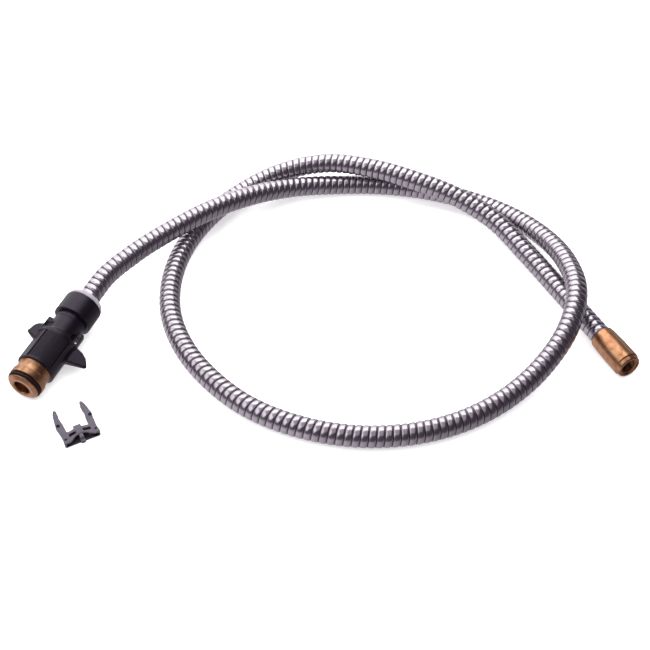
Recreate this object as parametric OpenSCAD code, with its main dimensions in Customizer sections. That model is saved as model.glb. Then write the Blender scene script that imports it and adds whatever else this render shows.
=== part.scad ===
// Sprayer hose: a strip-wound metal hose with a winged quick coupling at its inlet,
// a swivel sleeve at its outlet and a loose U-shaped locking clip beside it.
// Millimetres. +Z is up, the table is z = 0, and +X runs from the coupling towards the sleeve.

/* [Hose] */
// Diameter of the strip-wound cover over its ribs
hose_d = 15; // [14.4:0.1:15.4]
// Number of ribs along the whole cover
rib_count = 200; // [120:10:200]
// Height of a rib over the root between two ribs
rib_height = 0.65; // [0.3:0.05:0.8]
// Wall of the cover under the ribs
cover_wall = 0.7; // [0.5:0.05:0.9]
// Space between the cover and the liner
liner_space = 0.4; // [0.3:0.05:0.6]
// Wall of the liner
liner_wall = 1.8; // [1.4:0.1:2.2]

/* [Spigot] */
// Diameter of the flat face at the spigot's tip
nose_d = 17.6; // [15:0.1:20]
// Diameter of the lip in front of the O-ring, where the cone from the face ends
lip_d = 22.6; // [21:0.1:23.6]
// Length from the tip to the O-ring groove
lip_len = 2; // [1.2:0.1:3]
// Length of the straight edge of the lip
lip_edge = 0.4; // [0.3:0.1:1]
// Thickness of the spigot's O-ring
tip_ring_t = 2.7; // [2:0.1:3]
// Outer diameter of the spigot's O-ring
tip_ring_d = 24.4; // [24:0.1:25]
// Diameter of the land behind the O-ring
land_d = 24.9; // [24.4:0.1:26]
// Length of the land
land_len = 4.6; // [2:0.1:5]
// Diameter at the waist of the spigot's neck
waist_d = 23.4; // [21:0.1:24.2]
// Length of the neck from the land to the housing
waist_len = 6.9; // [5:0.1:10]
// Diameter of the shank inside the housing
shank_d = 21.6; // [20.4:0.1:22]
// Length of the shank inside the housing
shank_len = 19.5; // [18.6:0.1:22]
// Thickness of the O-ring round the shank
shank_ring_t = 1.9; // [1.4:0.1:2]
// Diameter of the inlet bore
inlet_d = 11.6; // [10:0.1:12]
// Length of the inlet bore from the tip
inlet_len = 11.2; // [8:0.1:12]
// Chamfer at the mouth of the inlet bore
inlet_chamfer = 0.8; // [0.3:0.1:1]

/* [Check valve] */
// Outer diameter of the valve cage
cage_d = 15; // [14.4:0.1:15.4]
// Length of the valve cage
cage_len = 13.6; // [13:0.1:14]
// Thickness of the cage's seat and of its spider
cage_end = 2; // [1.5:0.1:2.4]
// Wall of the cage
cage_wall = 0.9; // [0.7:0.1:1.2]
// Diameter of the opening in the seat
seat_d = 8.4; // [7.6:0.1:9]
// Diameter of the poppet's head
head_d = 10.6; // [10:0.1:11]
// Thickness of the poppet's head
head_t = 1.5; // [1:0.1:2]
// Diameter of the poppet's guide pin
guide_d = 2.4; // [2:0.1:3]
// Thickness of the sealing ring on the poppet
valve_seal_t = 1; // [0.8:0.1:1.2]
// How far the poppet opens
valve_travel = 2.5; // [1:0.1:3]
// Wire diameter of the valve spring
spring_wire = 0.6; // [0.4:0.05:0.8]
// Mean diameter of the valve spring
spring_d = 6; // [5:0.1:7]
// Turns of the valve spring
spring_turns = 6; // [4:1:6]
// Thickness of the split ring that keeps the cage in
keeper_t = 1; // [0.8:0.1:1.2]
// Depth of the groove of the split ring
keeper_depth = 0.6; // [0.4:0.1:0.8]

/* [Coupling housing] */
// Diameter of the lower housing
housing_d = 27; // [26:0.1:28]
// Length of the lower housing
housing_len = 27.5; // [26:0.1:29]
// Edge chamfer of the housing
housing_edge = 0.6; // [0.3:0.1:1]
// Diameter of the neck above the lower housing
neck_d = 21.8; // [21:0.1:22.4]
// Length from the lower housing up to the collar, with the sloped shoulder
neck_len = 18.5; // [17:0.1:20]
// Length of the sloped shoulder between housing and neck
shoulder_len = 3; // [2:0.1:4]
// Reach of the long wing from the axis
long_wing_reach = 27.5; // [24:0.1:30]
// Reach of the short wing from the axis
short_wing_reach = 20.8; // [18:0.1:24]
// Thickness of a wing
wing_t = 4; // [3:0.1:5]
// Length of a wing's root along the housing
wing_root = 13.4; // [12:0.1:14]
// Height of the long wing's root over the housing's lower end
long_wing_start = 15.5; // [14:0.1:17]
// Height of the short wing's root over the housing's lower end
short_wing_start = 19.8; // [18:0.1:21]
// Depth of the flats along the housing, beside the short wing
flat_depth = 0.7; // [0.3:0.1:0.9]
// Width of the lines along the housing
line_w = 1.2; // [0.6:0.1:1.6]
// Depth of the lines along the housing
line_depth = 0.8; // [0.3:0.1:1]
// Wall of the lugs outside the clip slots
lug_wall = 1.3; // [1:0.1:2]
// Width of the lugs across the neck
lug_w = 8; // [6:0.1:9]
// Length of the lugs below the clip slots
lug_below = 4; // [3:0.1:6]
// Length of the lugs above the clip slots
lug_above = 4.1; // [2:0.1:6]
// Bulge of a wing's upper edge
wing_bulge = 1.3; // [0:0.1:2]
// Distance from the lower housing to the clip slots
slot_start = 2.4; // [2:0.1:3]

/* [Collar and ring] */
// Diameter of the collar
collar_d = 27.3; // [26.8:0.1:29]
// Length of the collar
collar_len = 16; // [15:0.1:19]
// Wall of the collar
collar_wall = 2.5; // [2:0.1:3]
// Rounding at the collar's hose end
collar_round = 1.6; // [0.6:0.1:2]
// How far the neck reaches into the collar
collar_overlap = 8.5; // [7:0.1:9]
// Visible length of the guide ring
ring_len = 4; // [3:0.1:6]
// Diameter of the guide ring where it leaves the collar
ring_d = 25; // [23:0.1:25.6]
// Diameter of the guide ring where the hose leaves it
ring_mouth_d = 23; // [19:0.1:24]
// How far the guide ring reaches into the collar
ring_seat = 6.5; // [4:0.1:7]

/* [Stem] */
// Diameter of the stem in the housing
stem_d = 18; // [17:0.1:18.6]
// Length of the stem from its inner end to the clip groove
stem_nose = 8.4; // [8.2:0.1:9]
// Thickness of each stem O-ring
stem_ring_t = 1.9; // [1.4:0.1:2]
// Distance from the stem's inner end to the first O-ring
stem_ring_start = 1.2; // [1:0.1:1.4]
// Distance from one stem O-ring to the next
stem_ring_step = 3.6; // [3.2:0.1:3.8]
// Bore of the stem
stem_bore_d = 8; // [6:0.1:9]
// Length of the stem behind the clip groove
stem_back = 12; // [11:0.1:13]
// Length of the barbed tail in the liner
tail_len = 13; // [10:0.1:14]
// Core diameter of the barbed tail
tail_core_d = 6.2; // [5.4:0.1:6.6]
// Bore of the barbed tail
tail_bore_d = 4.6; // [3.6:0.1:5]
// Number of barbs on a tail
barb_count = 4; // [2:1:5]
// Outer diameter of the ferrules
ferrule_d = 16; // [15:0.1:16]

/* [Outlet sleeve] */
// Length of the sleeve
sleeve_len = 31.8; // [31.8:0.1:38]
// Diameter of the sleeve
sleeve_d = 18.8; // [18.4:0.1:20]
// Diameter of the sleeve's mouth, where the hose enters
sleeve_mouth_d = 17.4; // [17.2:0.1:18]
// Diameter part of the way up the taper
sleeve_shoulder_d = 18; // [17.6:0.1:18.4]
// Length of the steep part of the taper
sleeve_taper = 5; // [4:0.5:10]
// Length of the whole taper
sleeve_blend = 15; // [12:0.5:20]
// Chamfer at the sleeve's outer end
sleeve_chamfer = 1.6; // [0.8:0.1:2.4]
// Minor diameter of the thread in the sleeve
thread_d = 11.44; // [11:0.02:12]
// Length of the thread
thread_len = 8.3; // [7:0.1:8.3]
// Countersink at the mouth of the thread
thread_sink = 0.9; // [0.4:0.1:1.2]
// Diameter of the relief behind the thread
relief_d = 13.4; // [12.6:0.1:14]
// Diameter of the nipple where the sleeve turns on it
pivot_d = 9.8; // [9:0.1:10]
// Length of the web that turns on the nipple
pivot_len = 3; // [2:0.1:4]
// Diameter of the nipple's flange
flange_d = 11.2; // [10.6:0.1:11.2]
// Thickness of the nipple's flange
flange_t = 2; // [1.5:0.1:2.5]
// Thickness of the sealing washer
washer_t = 2; // [1.5:0.1:2.4]
// Hole of the sealing washer
washer_hole_d = 6; // [5:0.1:7]
// Length of the outlet ferrule
outlet_ferrule_len = 10.2; // [9:0.1:10.2]
// How far the hose cover reaches into the sleeve
cover_tuck = 3; // [2:0.1:4]

/* [Locking clip] */
// Width of the clip over its base
clip_w = 24.4; // [23:0.1:26]
// Length of the clip from its base to the prong tips
clip_reach = 30.4; // [27:0.1:34]
// Gap between the prongs
clip_gap = 15.2; // [14.6:0.1:16]
// Thickness of the clip
clip_t = 4.5; // [4:0.1:5]
// Widest part of a prong
prong_w = 5; // [4.4:0.1:5.6]
// Narrowest part of a prong, next to the base
prong_waist = 4; // [3.4:0.1:4.6]
// Depth of the clip's base
clip_bar = 9.2; // [8.4:0.1:10.4]
// How far the base bows in at its middle
clip_bow = 4.4; // [2:0.1:5]
// Thickness of the foot under the bowed base
clip_foot_t = 1.8; // [1.2:0.1:2.4]
// Width of the tab in the middle of the base
clip_tab_w = 5.2; // [3:0.1:6]
// Length of the tab in the middle of the base
clip_tab_len = 3; // [1:0.1:4]
// Diameter of the dimples in the prongs
dimple_d = 1.8; // [1:0.1:2.2]
// Depth of the dimples in the prongs
dimple_depth = 1.5; // [0.5:0.1:2.5]

/* [Clearances] */
// Radial clearance of a turning or sliding fit
run_fit = 0.05; // [0.02:0.01:0.09]
// Clearance between parts that are assembled and stay put
seat_fit = 0.05; // [0.02:0.01:0.1]
// Clearance where parts may move near each other
free_fit = 0.3; // [0.2:0.05:0.4]
// Side and height clearance of the clip in its slots
clip_fit = 0.25; // [0.15:0.05:0.4]

/* [Hidden] */
$fn = 72;
eps = 0.01;

// Points that the hose's centreline passes, from the guide ring's mouth to the sleeve's mouth.
// Its first and last two points lie on the axes of the coupling and of the sleeve.
route = [
    [-166.7, 55.1, 19.1], [-159, 71.8, 20.7], [-138.5, 98.6, 23], [-113, 123.5, 23.9],
    [-86, 146.5, 23.4], [-57.5, 168.5, 18.5], [-27, 185.6, 12.2], [6.5, 194, 8], [42, 194.5, 7.5],
    [77.5, 188.5, 7.5], [110, 175.5, 8.3], [138.7, 154.4, 11], [160, 126, 15.8], [172.5, 91.6, 22],
    [174.5, 56.2, 25.3], [164, 24.2, 20.8], [143, -4, 12.6], [116.5, -27.5, 8.2], [86, -45.5, 7.5],
    [52, -55.5, 7.5], [16.5, -56.5, 7.5], [-18, -48.5, 7.5], [-50, -32.5, 7.5], [-76.5, -8.5, 7.5],
    [-97, 21, 7.5], [-109, 54, 7.5], [-111, 89, 7.5], [-104, 124, 7.5], [-88.5, 156.5, 7.6],
    [-65, 183, 10], [-34.5, 200.3, 15.6], [-0.5, 204, 21.6], [34.5, 195.2, 24.1], [67.5, 181, 23.8],
    [99, 165, 20.6], [126.7, 143.4, 15.3], [146.5, 114.5, 10.9], [164.5, 83.5, 8], [182.5, 45.5, 9.4],
    [190.5, 29.5, 9.4]];
// How far the coupling is turned on its axis, so that its long wing points right and down
coupling_roll = -72;
// Place of the clip's base on the table, and the way that it is turned
clip_place = [-157, -55.3, 0];
clip_turn = 27.7;
// Where the flats and the lines lie round the housing, from the middle of the short and of the long wing
flat_turn = 31;
short_line_turn = 56;
long_line_turn = 42;

// The hose is swept with this many sides, and has the area of a round one
sides = 8;
side_turn = 360 / sides;
hose_r = hose_d / 2 * sqrt(2 * PI / (sides * sin(side_turn)));
root_r = hose_r - rib_height;
cover_bore_r = root_r - cover_wall;
liner_r = cover_bore_r - liner_space;
liner_bore_r = liner_r - liner_wall;
// Where the crest lies in a rib, as a share of the rib's length
crest_share = 0.3;
// Ribs for each ring of the bore
ribs_per_ring = 2;
// Steps of the curve between two route points
span_steps = 8;
// Stretch of the hose, in ribs, that is too near to count as another turn
near_ribs = 8;

// Stations along the coupling's axis, from the spigot's tip at 0 to the guide ring's mouth
groove_fit = 0.5;
tip_groove_w = tip_ring_t + groove_fit;
s_land = lip_len + tip_groove_w;
s_waist = s_land + land_len;
s_housing = s_waist + waist_len;
s_shank_end = s_housing + shank_len;
s_neck = s_housing + housing_len;
s_slot = s_neck + slot_start;
s_collar = s_neck + neck_len;
s_neck_end = s_collar + collar_overlap;
s_ring = s_collar + collar_len;
s_exit = s_ring + ring_len;

// Check valve: the cage sits behind the inlet bore and the poppet opens towards the hose
valve_face_gap = 0.1;
s_cage = inlet_len + seat_fit;
s_seat = s_cage + cage_end;
s_cage_end = s_cage + cage_len;
s_spider = s_cage_end - cage_end;
s_valve_seal = s_seat + valve_face_gap;
s_head = s_valve_seal + valve_seal_t;
s_head_back = s_head + head_t;
s_keeper = s_cage_end + seat_fit;
chamber_r = cage_d / 2 + seat_fit;
nose_r = seat_d / 2 - free_fit;
seal_inner_r = nose_r + seat_fit;
spring_start = s_head_back + valve_face_gap + spring_wire / 2;
spring_end = s_spider - valve_face_gap - spring_wire / 2;
pin_over = 1.5;

// Stem: its groove lines up with the clip slots
slot_h = clip_t + 2 * clip_fit;
s_stem = s_slot - stem_nose;
s_stem_back = s_slot + slot_h;
s_tail = s_stem_back + stem_back;
stem_bore_r = stem_d / 2 + run_fit;
clip_groove_r = clip_gap / 2 - free_fit;
slot_inner = clip_gap / 2 - clip_fit;
slot_outer = clip_gap / 2 + prong_w + clip_fit;
lug_reach = slot_outer + lug_wall;
passage_r = stem_bore_d / 2 + 2;
wing_sink = 1;
wing_tip = 1.5;
stem_ring_reach = stem_bore_r - run_fit / 2;
s_web = s_shank_end + seat_fit;
cover_in = s_exit - s_tail - tail_len - seat_fit;
s_cover = s_exit - cover_in;
s_ferrule = s_tail + seat_fit;

// Collar and guide ring
collar_bore_r = collar_d / 2 - collar_wall;
spigot_thread_r = collar_bore_r - seat_fit;
ring_body_r = collar_bore_r - 2 * run_fit;
ring_bore_r = max(ferrule_d / 2, hose_r) + 2 * seat_fit;

// Outlet, from the sleeve's mouth at 0
o_ferrule = cover_tuck + seat_fit;
o_shoulder = o_ferrule + outlet_ferrule_len + seat_fit;
shoulder_t = 2;
o_web = o_shoulder + shoulder_t + 2 * run_fit;
o_flange = o_web + pivot_len + 2 * run_fit;
o_washer = o_flange + flange_t + seat_fit;
o_thread = sleeve_len - thread_sink - thread_len;
sleeve_bore_r = max(ferrule_d / 2, hose_r) + free_fit / 2;
liner_out = o_shoulder - seat_fit;
barb_height = 0.45;
barb_tip = 0.6;
shoulder_r = ferrule_d / 2 - free_fit;
coupling_tail_in = s_exit - s_ferrule;

function unit(v) = v / norm(v);

// ---- The hose's centreline -------------------------------------------------------------

points = len(route);
function chord(i) = norm(route[i + 1] - route[i]);
start_dir = unit(route[1] - route[0]);
end_dir = unit(route[points - 1] - route[points - 2]);

// Direction of the curve at a route point: that of the circle through it and its neighbours
function dir_at(i) =
    i < 2 ? start_dir
    : i > points - 3 ? end_dir
    : unit((route[i] - route[i - 1]) / chord(i - 1) * chord(i)
           + (route[i + 1] - route[i]) / chord(i) * chord(i - 1));

// Point of the curve, where u counts route points
function on_route(u) =
    let (i = min(floor(u), points - 2), t = u - i, c = chord(i))
    route[i] * (2 * t * t * t - 3 * t * t + 1)
    + dir_at(i) * c * (t * t * t - 2 * t * t + t)
    + route[i + 1] * (3 * t * t - 2 * t * t * t)
    + dir_at(i + 1) * c * (t * t * t - t * t);

fine = [for (k = [0 : (points - 1) * span_steps]) on_route(k / span_steps)];
run = [for (k = 0, s = 0;
            k < len(fine);
            s = k + 1 < len(fine) ? s + norm(fine[k + 1] - fine[k]) : s, k = k + 1) s];
free_len = run[len(run) - 1];
run_table = [for (k = [0 : len(fine) - 1]) [run[k], k / span_steps]];

// Point of the centreline at a length from the guide ring's mouth; it runs on straight at both ends
function at_length(s) =
    s < 0 ? route[0] + s * start_dir
    : s > free_len ? route[points - 1] + (s - free_len) * end_dir
    : on_route(lookup(s, run_table));

tangent_step = 0.5;
function ring_at(s, r) =
    let (c = at_length(s),
         t = unit(at_length(s + tangent_step) - at_length(s - tangent_step)),
         side = unit(cross(t, [0, 0, 1])),
         up = cross(side, t))
    [for (k = [0 : sides - 1])
        c + r * (cos((k + 0.5) * side_turn) * side + sin((k + 0.5) * side_turn) * up)];

// Triangles between the rings of a wall; the first ring starts at point `first`
function wall_faces(rings, first, inward) =
    [for (i = [0 : rings - 2]) for (k = [0 : sides - 1])
        let (a = first + i * sides + k, b = first + i * sides + (k + 1) % sides, c = b + sides, d = a + sides)
        for (half = [0, 1])
            inward ? (half == 0 ? [a, b, c] : [a, c, d]) : (half == 0 ? [a, c, b] : [a, d, c])];

// Triangles of an end face between an outer ring and a bore ring
function end_faces(outer, inner, near) =
    [for (k = [0 : sides - 1])
        let (a = outer + k, b = outer + (k + 1) % sides, c = inner + (k + 1) % sides, d = inner + k)
        for (half = [0, 1])
            near ? (half == 0 ? [a, b, c] : [a, c, d]) : (half == 0 ? [a, c, b] : [a, d, c])];

// A hollow swept tube: `outer` and `bore` are lists of [length, radius]
module swept_tube(outer, bore) {
    rings = concat([for (p = outer) ring_at(p[0], p[1])], [for (p = bore) ring_at(p[0], p[1])]);
    n_out = len(outer);
    n_bore = len(bore);
    first_bore = n_out * sides;
    polyhedron(
        points = [for (ring = rings) for (p = ring) p],
        faces = concat(
            wall_faces(n_out, 0, false),
            wall_faces(n_bore, first_bore, true),
            end_faces(0, first_bore, true),
            end_faces((n_out - 1) * sides, first_bore + (n_bore - 1) * sides, false)),
        convexity = 12);
}

cover_len = free_len + cover_in + cover_tuck;
rib_pitch = cover_len / rib_count;
function rib_station(i) = i * rib_pitch - cover_in;
bore_stations = [for (i = [0 : ribs_per_ring : rib_count]) rib_station(i)];

// Least distance between two stretches of the hose that aren't neighbours along it
function point_to_span(p, a, b) =
    let (ab = b - a, t = max(0, min(1, (p - a) * ab / (ab * ab))))
    norm(p - a - t * ab);
function least_gap() =
    let (c = [for (i = [0 : rib_count]) at_length(rib_station(i))])
    min([for (i = [0 : rib_count - near_ribs - 1]) for (j = [i + near_ribs : rib_count - 1])
        point_to_span(c[i], c[j], c[j + 1])]) - 2 * hose_r;

union() {  // hose_cover
    echo(free_length_of_the_hose = free_len, rib_pitch = rib_pitch);
    echo(least_gap_of_the_hose_to_itself = least_gap());
}

// ---- Helpers ---------------------------------------------------------------------------

// A solid of revolution from [radius, station] points
module turned(profile) {
    rotate_extrude() polygon(profile);
}

// A tube about the axis between two stations
module tube(r_in, r_out, from, to) {
    turned([[r_in, from], [r_out, from], [r_out, to], [r_in, to]]);
}

// An O-ring of thickness t whose outer edge reaches r_out, in the middle of a groove
module o_ring(t, r_out, from, width) {
    translate([0, 0, from + width / 2])
        rotate_extrude() translate([r_out - t / 2, 0]) circle(d = t, $fn = 32);
}

// Places a child that is modelled along the coupling's axis, with the spigot's tip at z = 0
module at_coupling() {
    translate(route[0])
        rotate([0, acos(start_dir[2]), atan2(start_dir[1], start_dir[0])])
            rotate(coupling_roll)
                translate([0, 0, -s_exit]) children();
}

// Places a child that is modelled along the sleeve's axis, with the sleeve's mouth at z = 0
module at_outlet() {
    translate(route[points - 1])
        rotate([0, acos(end_dir[2]), atan2(end_dir[1], end_dir[0])]) children();
}

// Barbs of a hose tail from one station to another, tapering towards `to`
function barb_points(from, to) =
    let (n = barb_count, pitch = (to - from) / n, core = tail_core_d / 2, high = core + barb_height)
    [for (i = [0 : n - 1])
        for (p = [[high, from + i * pitch + barb_tip], [high, from + i * pitch + 2 * barb_tip],
                  [core, from + (i + 1) * pitch]]) p];

// ---- Hose ------------------------------------------------------------------------------

module hose_cover() {
    ribs = [for (i = [0 : rib_count - 1])
        for (p = [[rib_station(i + crest_share), hose_r], [rib_station(i + 1), root_r]]) p];
    color("silver")
        swept_tube(concat([[rib_station(0), root_r]], ribs), [for (s = bore_stations) [s, cover_bore_r]]);
}

module hose_liner() {
    stations = concat([-coupling_tail_in], bore_stations, [free_len + liner_out]);
    color("dimgray")
        swept_tube([for (s = stations) [s, liner_r]], [for (s = stations) [s, liner_bore_r]]);
}

// ---- Spigot and check valve ------------------------------------------------------------

module spigot() {
    lip_r = lip_d / 2;
    land_r = land_d / 2;
    waist_r = waist_d / 2;
    shank_r = shank_d / 2;
    bore_r = inlet_d / 2;
    groove_r = tip_ring_d / 2 - seat_fit - tip_ring_t;
    seal_w = shank_ring_t + groove_fit;
    seal_groove_r = shank_r - shank_ring_t - seat_fit;
    s_seal = s_housing + shank_len / 2;
    edge = 0.3;
    color("peru") at_coupling() turned([
        [bore_r + inlet_chamfer, 0], [nose_d / 2, 0], [lip_r, lip_len - lip_edge], [lip_r, lip_len],
        [groove_r, lip_len], [groove_r, s_land],
        [land_r - edge, s_land], [land_r, s_land + edge], [land_r, s_waist - edge],
        [land_r - edge, s_waist], [waist_r, s_waist + edge],
        [waist_r, s_housing - 3 * edge], [waist_r + edge, s_housing],
        [shank_r, s_housing], [shank_r, s_seal], [seal_groove_r, s_seal],
        [seal_groove_r, s_seal + seal_w], [shank_r, s_seal + seal_w], [shank_r, s_shank_end],
        [chamber_r, s_shank_end], [chamber_r, s_keeper + keeper_t + seat_fit],
        [chamber_r + keeper_depth, s_keeper + keeper_t + seat_fit], [chamber_r + keeper_depth, s_keeper],
        [chamber_r, s_keeper], [chamber_r, inlet_len], [bore_r, inlet_len], [bore_r, inlet_chamfer]]);
}

module spigot_o_ring() {
    color("black") at_coupling() o_ring(tip_ring_t, tip_ring_d / 2, lip_len, tip_groove_w);
}

module spigot_seal() {
    color("black") at_coupling()
        o_ring(shank_ring_t, shank_d / 2, s_housing + shank_len / 2, shank_ring_t + groove_fit);
}

module valve_cage() {
    window_count = 3;
    bush_wall = 1;
    bush_r = guide_d / 2 + run_fit + bush_wall;
    spoke_w = 2;
    color("white") at_coupling() difference() {
        union() {
            tube(seat_d / 2, cage_d / 2, s_cage, s_seat);
            tube(cage_d / 2 - cage_wall, cage_d / 2, s_seat, s_cage_end);
            translate([0, 0, s_spider]) cylinder(r = bush_r, h = cage_end);
            for (i = [0 : window_count - 1])
                rotate(i * 360 / window_count)
                    translate([0, -spoke_w / 2, s_spider])
                        cube([cage_d / 2 - cage_wall / 2, spoke_w, cage_end]);
        }
        translate([0, 0, s_spider - eps]) cylinder(d = guide_d + 2 * run_fit, h = cage_end + 2 * eps);
    }
}

module valve_poppet() {
    s_pin_end = s_cage_end + pin_over;
    color("white") at_coupling() turned([
        [0, s_cage], [nose_r - free_fit, s_cage], [nose_r, s_cage + free_fit], [nose_r, s_head],
        [head_d / 2, s_head], [head_d / 2, s_head_back], [guide_d / 2, s_head_back],
        [guide_d / 2, s_pin_end], [0, s_pin_end]]);
}

module valve_seal() {
    color("black") at_coupling() tube(seal_inner_r, head_d / 2, s_valve_seal, s_head - seat_fit);
}

// One open helix with flat-cut ends
module valve_spring() {
    ring_sides = 6;
    steps = 8 * spring_turns;
    rise = (spring_end - spring_start) / steps;
    wire_r = spring_wire / 2;
    centre_r = spring_d / 2;
    pts = [for (i = [0 : steps]) for (k = [0 : ring_sides - 1])
        let (a = i * 360 / 8, b = k * 360 / ring_sides, r = centre_r + wire_r * cos(b))
        [r * cos(a), r * sin(a), spring_start + i * rise + wire_r * sin(b)]];
    walls = [for (i = [0 : steps - 1]) for (k = [0 : ring_sides - 1])
        let (a = i * ring_sides + k, b = i * ring_sides + (k + 1) % ring_sides,
             c = b + ring_sides, d = a + ring_sides)
        for (half = [0, 1]) half == 0 ? [a, b, c] : [a, c, d]];
    last = steps * ring_sides;
    caps = [for (k = [1 : ring_sides - 2]) for (end = [0, 1])
        end == 0 ? [0, k + 1, k] : [last, last + k, last + k + 1]];
    color("lightgray") at_coupling() polyhedron(points = pts, faces = concat(walls, caps), convexity = 8);
}

// Split ring in the groove behind the cage
module valve_ring() {
    split_w = 3;
    inner_r = cage_d / 2 - cage_wall;
    outer_r = chamber_r + keeper_depth - seat_fit;
    color("lightgray") at_coupling() difference() {
        tube(inner_r, outer_r, s_keeper + seat_fit / 2, s_keeper + keeper_t);
        translate([0, -split_w / 2, s_keeper - eps]) cube([outer_r + 1, split_w, keeper_t + 1]);
    }
}

// ---- Coupling housing ------------------------------------------------------------------

// Outline of a wing in the plane of the axis: x is the distance from the axis, y the station.
// The lower edge climbs by `rise` to the tip, and the upper edge bulges a little.
module wing_outline(from, reach, rise) {
    foot_r = housing_d / 2 - wing_sink;
    tip_y = from + rise;
    top = from + wing_root;
    upper = [for (k = [0 : 6]) let (t = k / 6) [
        reach - wing_tip / 2 + t * (foot_r + wing_sink - reach + wing_tip / 2) + wing_bulge * sin(180 * t),
        tip_y + wing_tip + t * (top - tip_y - wing_tip) + wing_bulge * sin(180 * t)]];
    polygon(concat(
        [[foot_r, from], [housing_d / 2, from], [reach - wing_tip, tip_y - wing_tip / 2],
         [reach - wing_tip / 3, tip_y - wing_tip / 4], [reach, tip_y + wing_tip / 3]],
        upper,
        [[foot_r, top]]));
}

module wing(reach, from, rise, turn) {
    rotate(turn) rotate([90, 0, 0]) translate([0, 0, -wing_t / 2])
        linear_extrude(wing_t) wing_outline(from, reach, rise);
}

module coupling_body() {
    r = housing_d / 2;
    nr = neck_d / 2;
    long_rise = 4;
    short_rise = 3;
    line_len = housing_len - 3 * line_w;
    color([0.13, 0.12, 0.14]) at_coupling() difference() {
        union() {
            difference() {
                turned([
                    [0, s_housing], [r - housing_edge, s_housing], [r, s_housing + housing_edge],
                    [r, s_neck], [nr, s_neck + shoulder_len], [nr, s_collar - seat_fit],
                    [spigot_thread_r, s_collar - seat_fit],
                    [spigot_thread_r, s_neck_end], [0, s_neck_end]]);
                // Flats and lines along the housing
                for (side = [-1, 1]) {
                    rotate(180 + side * flat_turn) translate([r - flat_depth, -r, s_housing + line_w])
                        cube([r, 2 * r, line_len]);
                    for (turn = [180 + side * short_line_turn, side * long_line_turn])
                        rotate(turn) translate([r - line_depth, -line_w / 2, s_housing + line_w])
                            cube([r, line_w, line_len]);
                }
            }
            wing(long_wing_reach, s_housing + long_wing_start, long_rise, 0);
            wing(short_wing_reach, s_housing + short_wing_start, short_rise, 180);
            // Lugs that close the clip slots on the outside
            intersection() {
                translate([-lug_reach, -lug_w / 2, s_slot - lug_below])
                    cube([2 * lug_reach, lug_w, lug_below + slot_h + lug_above]);
                translate([0, 0, s_housing]) cylinder(r = lug_reach, h = housing_len + neck_len);
            }
        }
        // Socket of the spigot's shank
        translate([0, 0, s_housing - eps]) cylinder(d = shank_d + 2 * seat_fit, h = shank_len + seat_fit + eps);
        // Passage between the spigot and the stem
        translate([0, 0, s_web - eps]) cylinder(r = passage_r, h = s_stem - s_web);
        // Bore in which the housing turns on the stem
        translate([0, 0, s_stem - seat_fit]) cylinder(r = stem_bore_r, h = s_neck_end - s_stem + 1);
        // Slots for the prongs of the clip
        for (turn = [0, 180])
            rotate(turn) translate([slot_inner, -neck_d, s_slot])
                cube([slot_outer - slot_inner, 2 * neck_d, slot_h]);
    }
}

module coupling_collar() {
    r = collar_d / 2;
    arc = [for (k = [0 : 6]) [r - collar_round * (1 - cos(k * 15)), s_ring - collar_round * (1 - sin(k * 15))]];
    lower_edge = 0.4;
    color([0.16, 0.15, 0.17]) at_coupling() turned(concat(
        [[collar_bore_r, s_collar], [r - lower_edge, s_collar], [r, s_collar + lower_edge]],
        arc,
        [[collar_bore_r, s_ring]]));
}

module guide_ring() {
    s_flange = s_ring + run_fit;
    lip = 0.8;
    color([0.78, 0.77, 0.8]) at_coupling() turned([
        [ring_bore_r, s_ring - ring_seat], [ring_body_r, s_ring - ring_seat], [ring_body_r, s_flange],
        [ring_d / 2, s_flange], [ring_d / 2, s_flange + lip],
        [ring_mouth_d / 2, s_exit], [ring_bore_r, s_exit]]);
}

// ---- Stem ------------------------------------------------------------------------------

module hose_stem() {
    r = stem_d / 2;
    ring_w = stem_ring_t + groove_fit;
    ring_groove_r = stem_ring_reach - stem_ring_t - run_fit;
    first = s_stem + stem_ring_start;
    second = first + stem_ring_step;
    tail_end = s_tail + tail_len;
    color("peru") at_coupling() turned(concat([
        [stem_bore_d / 2, s_stem], [r, s_stem],
        [r, first], [ring_groove_r, first], [ring_groove_r, first + ring_w], [r, first + ring_w],
        [r, second], [ring_groove_r, second], [ring_groove_r, second + ring_w], [r, second + ring_w],
        [r, s_slot], [clip_groove_r, s_slot], [clip_groove_r, s_stem_back], [r, s_stem_back],
        [r, s_tail], [tail_core_d / 2, s_tail]],
        [for (p = barb_points(s_tail, tail_end)) p],
        [[tail_bore_d / 2, tail_end], [tail_bore_d / 2, s_stem_back], [stem_bore_d / 2, s_slot]]));
}

module stem_o_rings() {
    width = stem_ring_t + groove_fit;
    color("black") at_coupling()
        for (i = [0, 1])
            o_ring(stem_ring_t, stem_ring_reach, s_stem + stem_ring_start + i * stem_ring_step, width);
}

module inlet_ferrule() {
    color("lightgray") at_coupling() tube(liner_r + seat_fit, ferrule_d / 2, s_ferrule, s_cover - seat_fit);
}

// ---- Outlet ----------------------------------------------------------------------------

module outlet_sleeve() {
    r = sleeve_d / 2;
    mouth_edge = 0.2;
    color("peru") at_outlet() turned([
        [sleeve_bore_r, 0], [sleeve_mouth_d / 2 - mouth_edge, 0], [sleeve_mouth_d / 2, mouth_edge],
        [sleeve_shoulder_d / 2, sleeve_taper], [r, sleeve_blend], [r, sleeve_len - sleeve_chamfer],
        [r - sleeve_chamfer, sleeve_len], [thread_d / 2 + thread_sink, sleeve_len],
        [thread_d / 2, sleeve_len - thread_sink], [thread_d / 2, o_thread], [relief_d / 2, o_thread],
        [relief_d / 2, o_web + pivot_len], [pivot_d / 2 + run_fit, o_web + pivot_len],
        [pivot_d / 2 + run_fit, o_web], [sleeve_bore_r, o_web]]);
}

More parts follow.
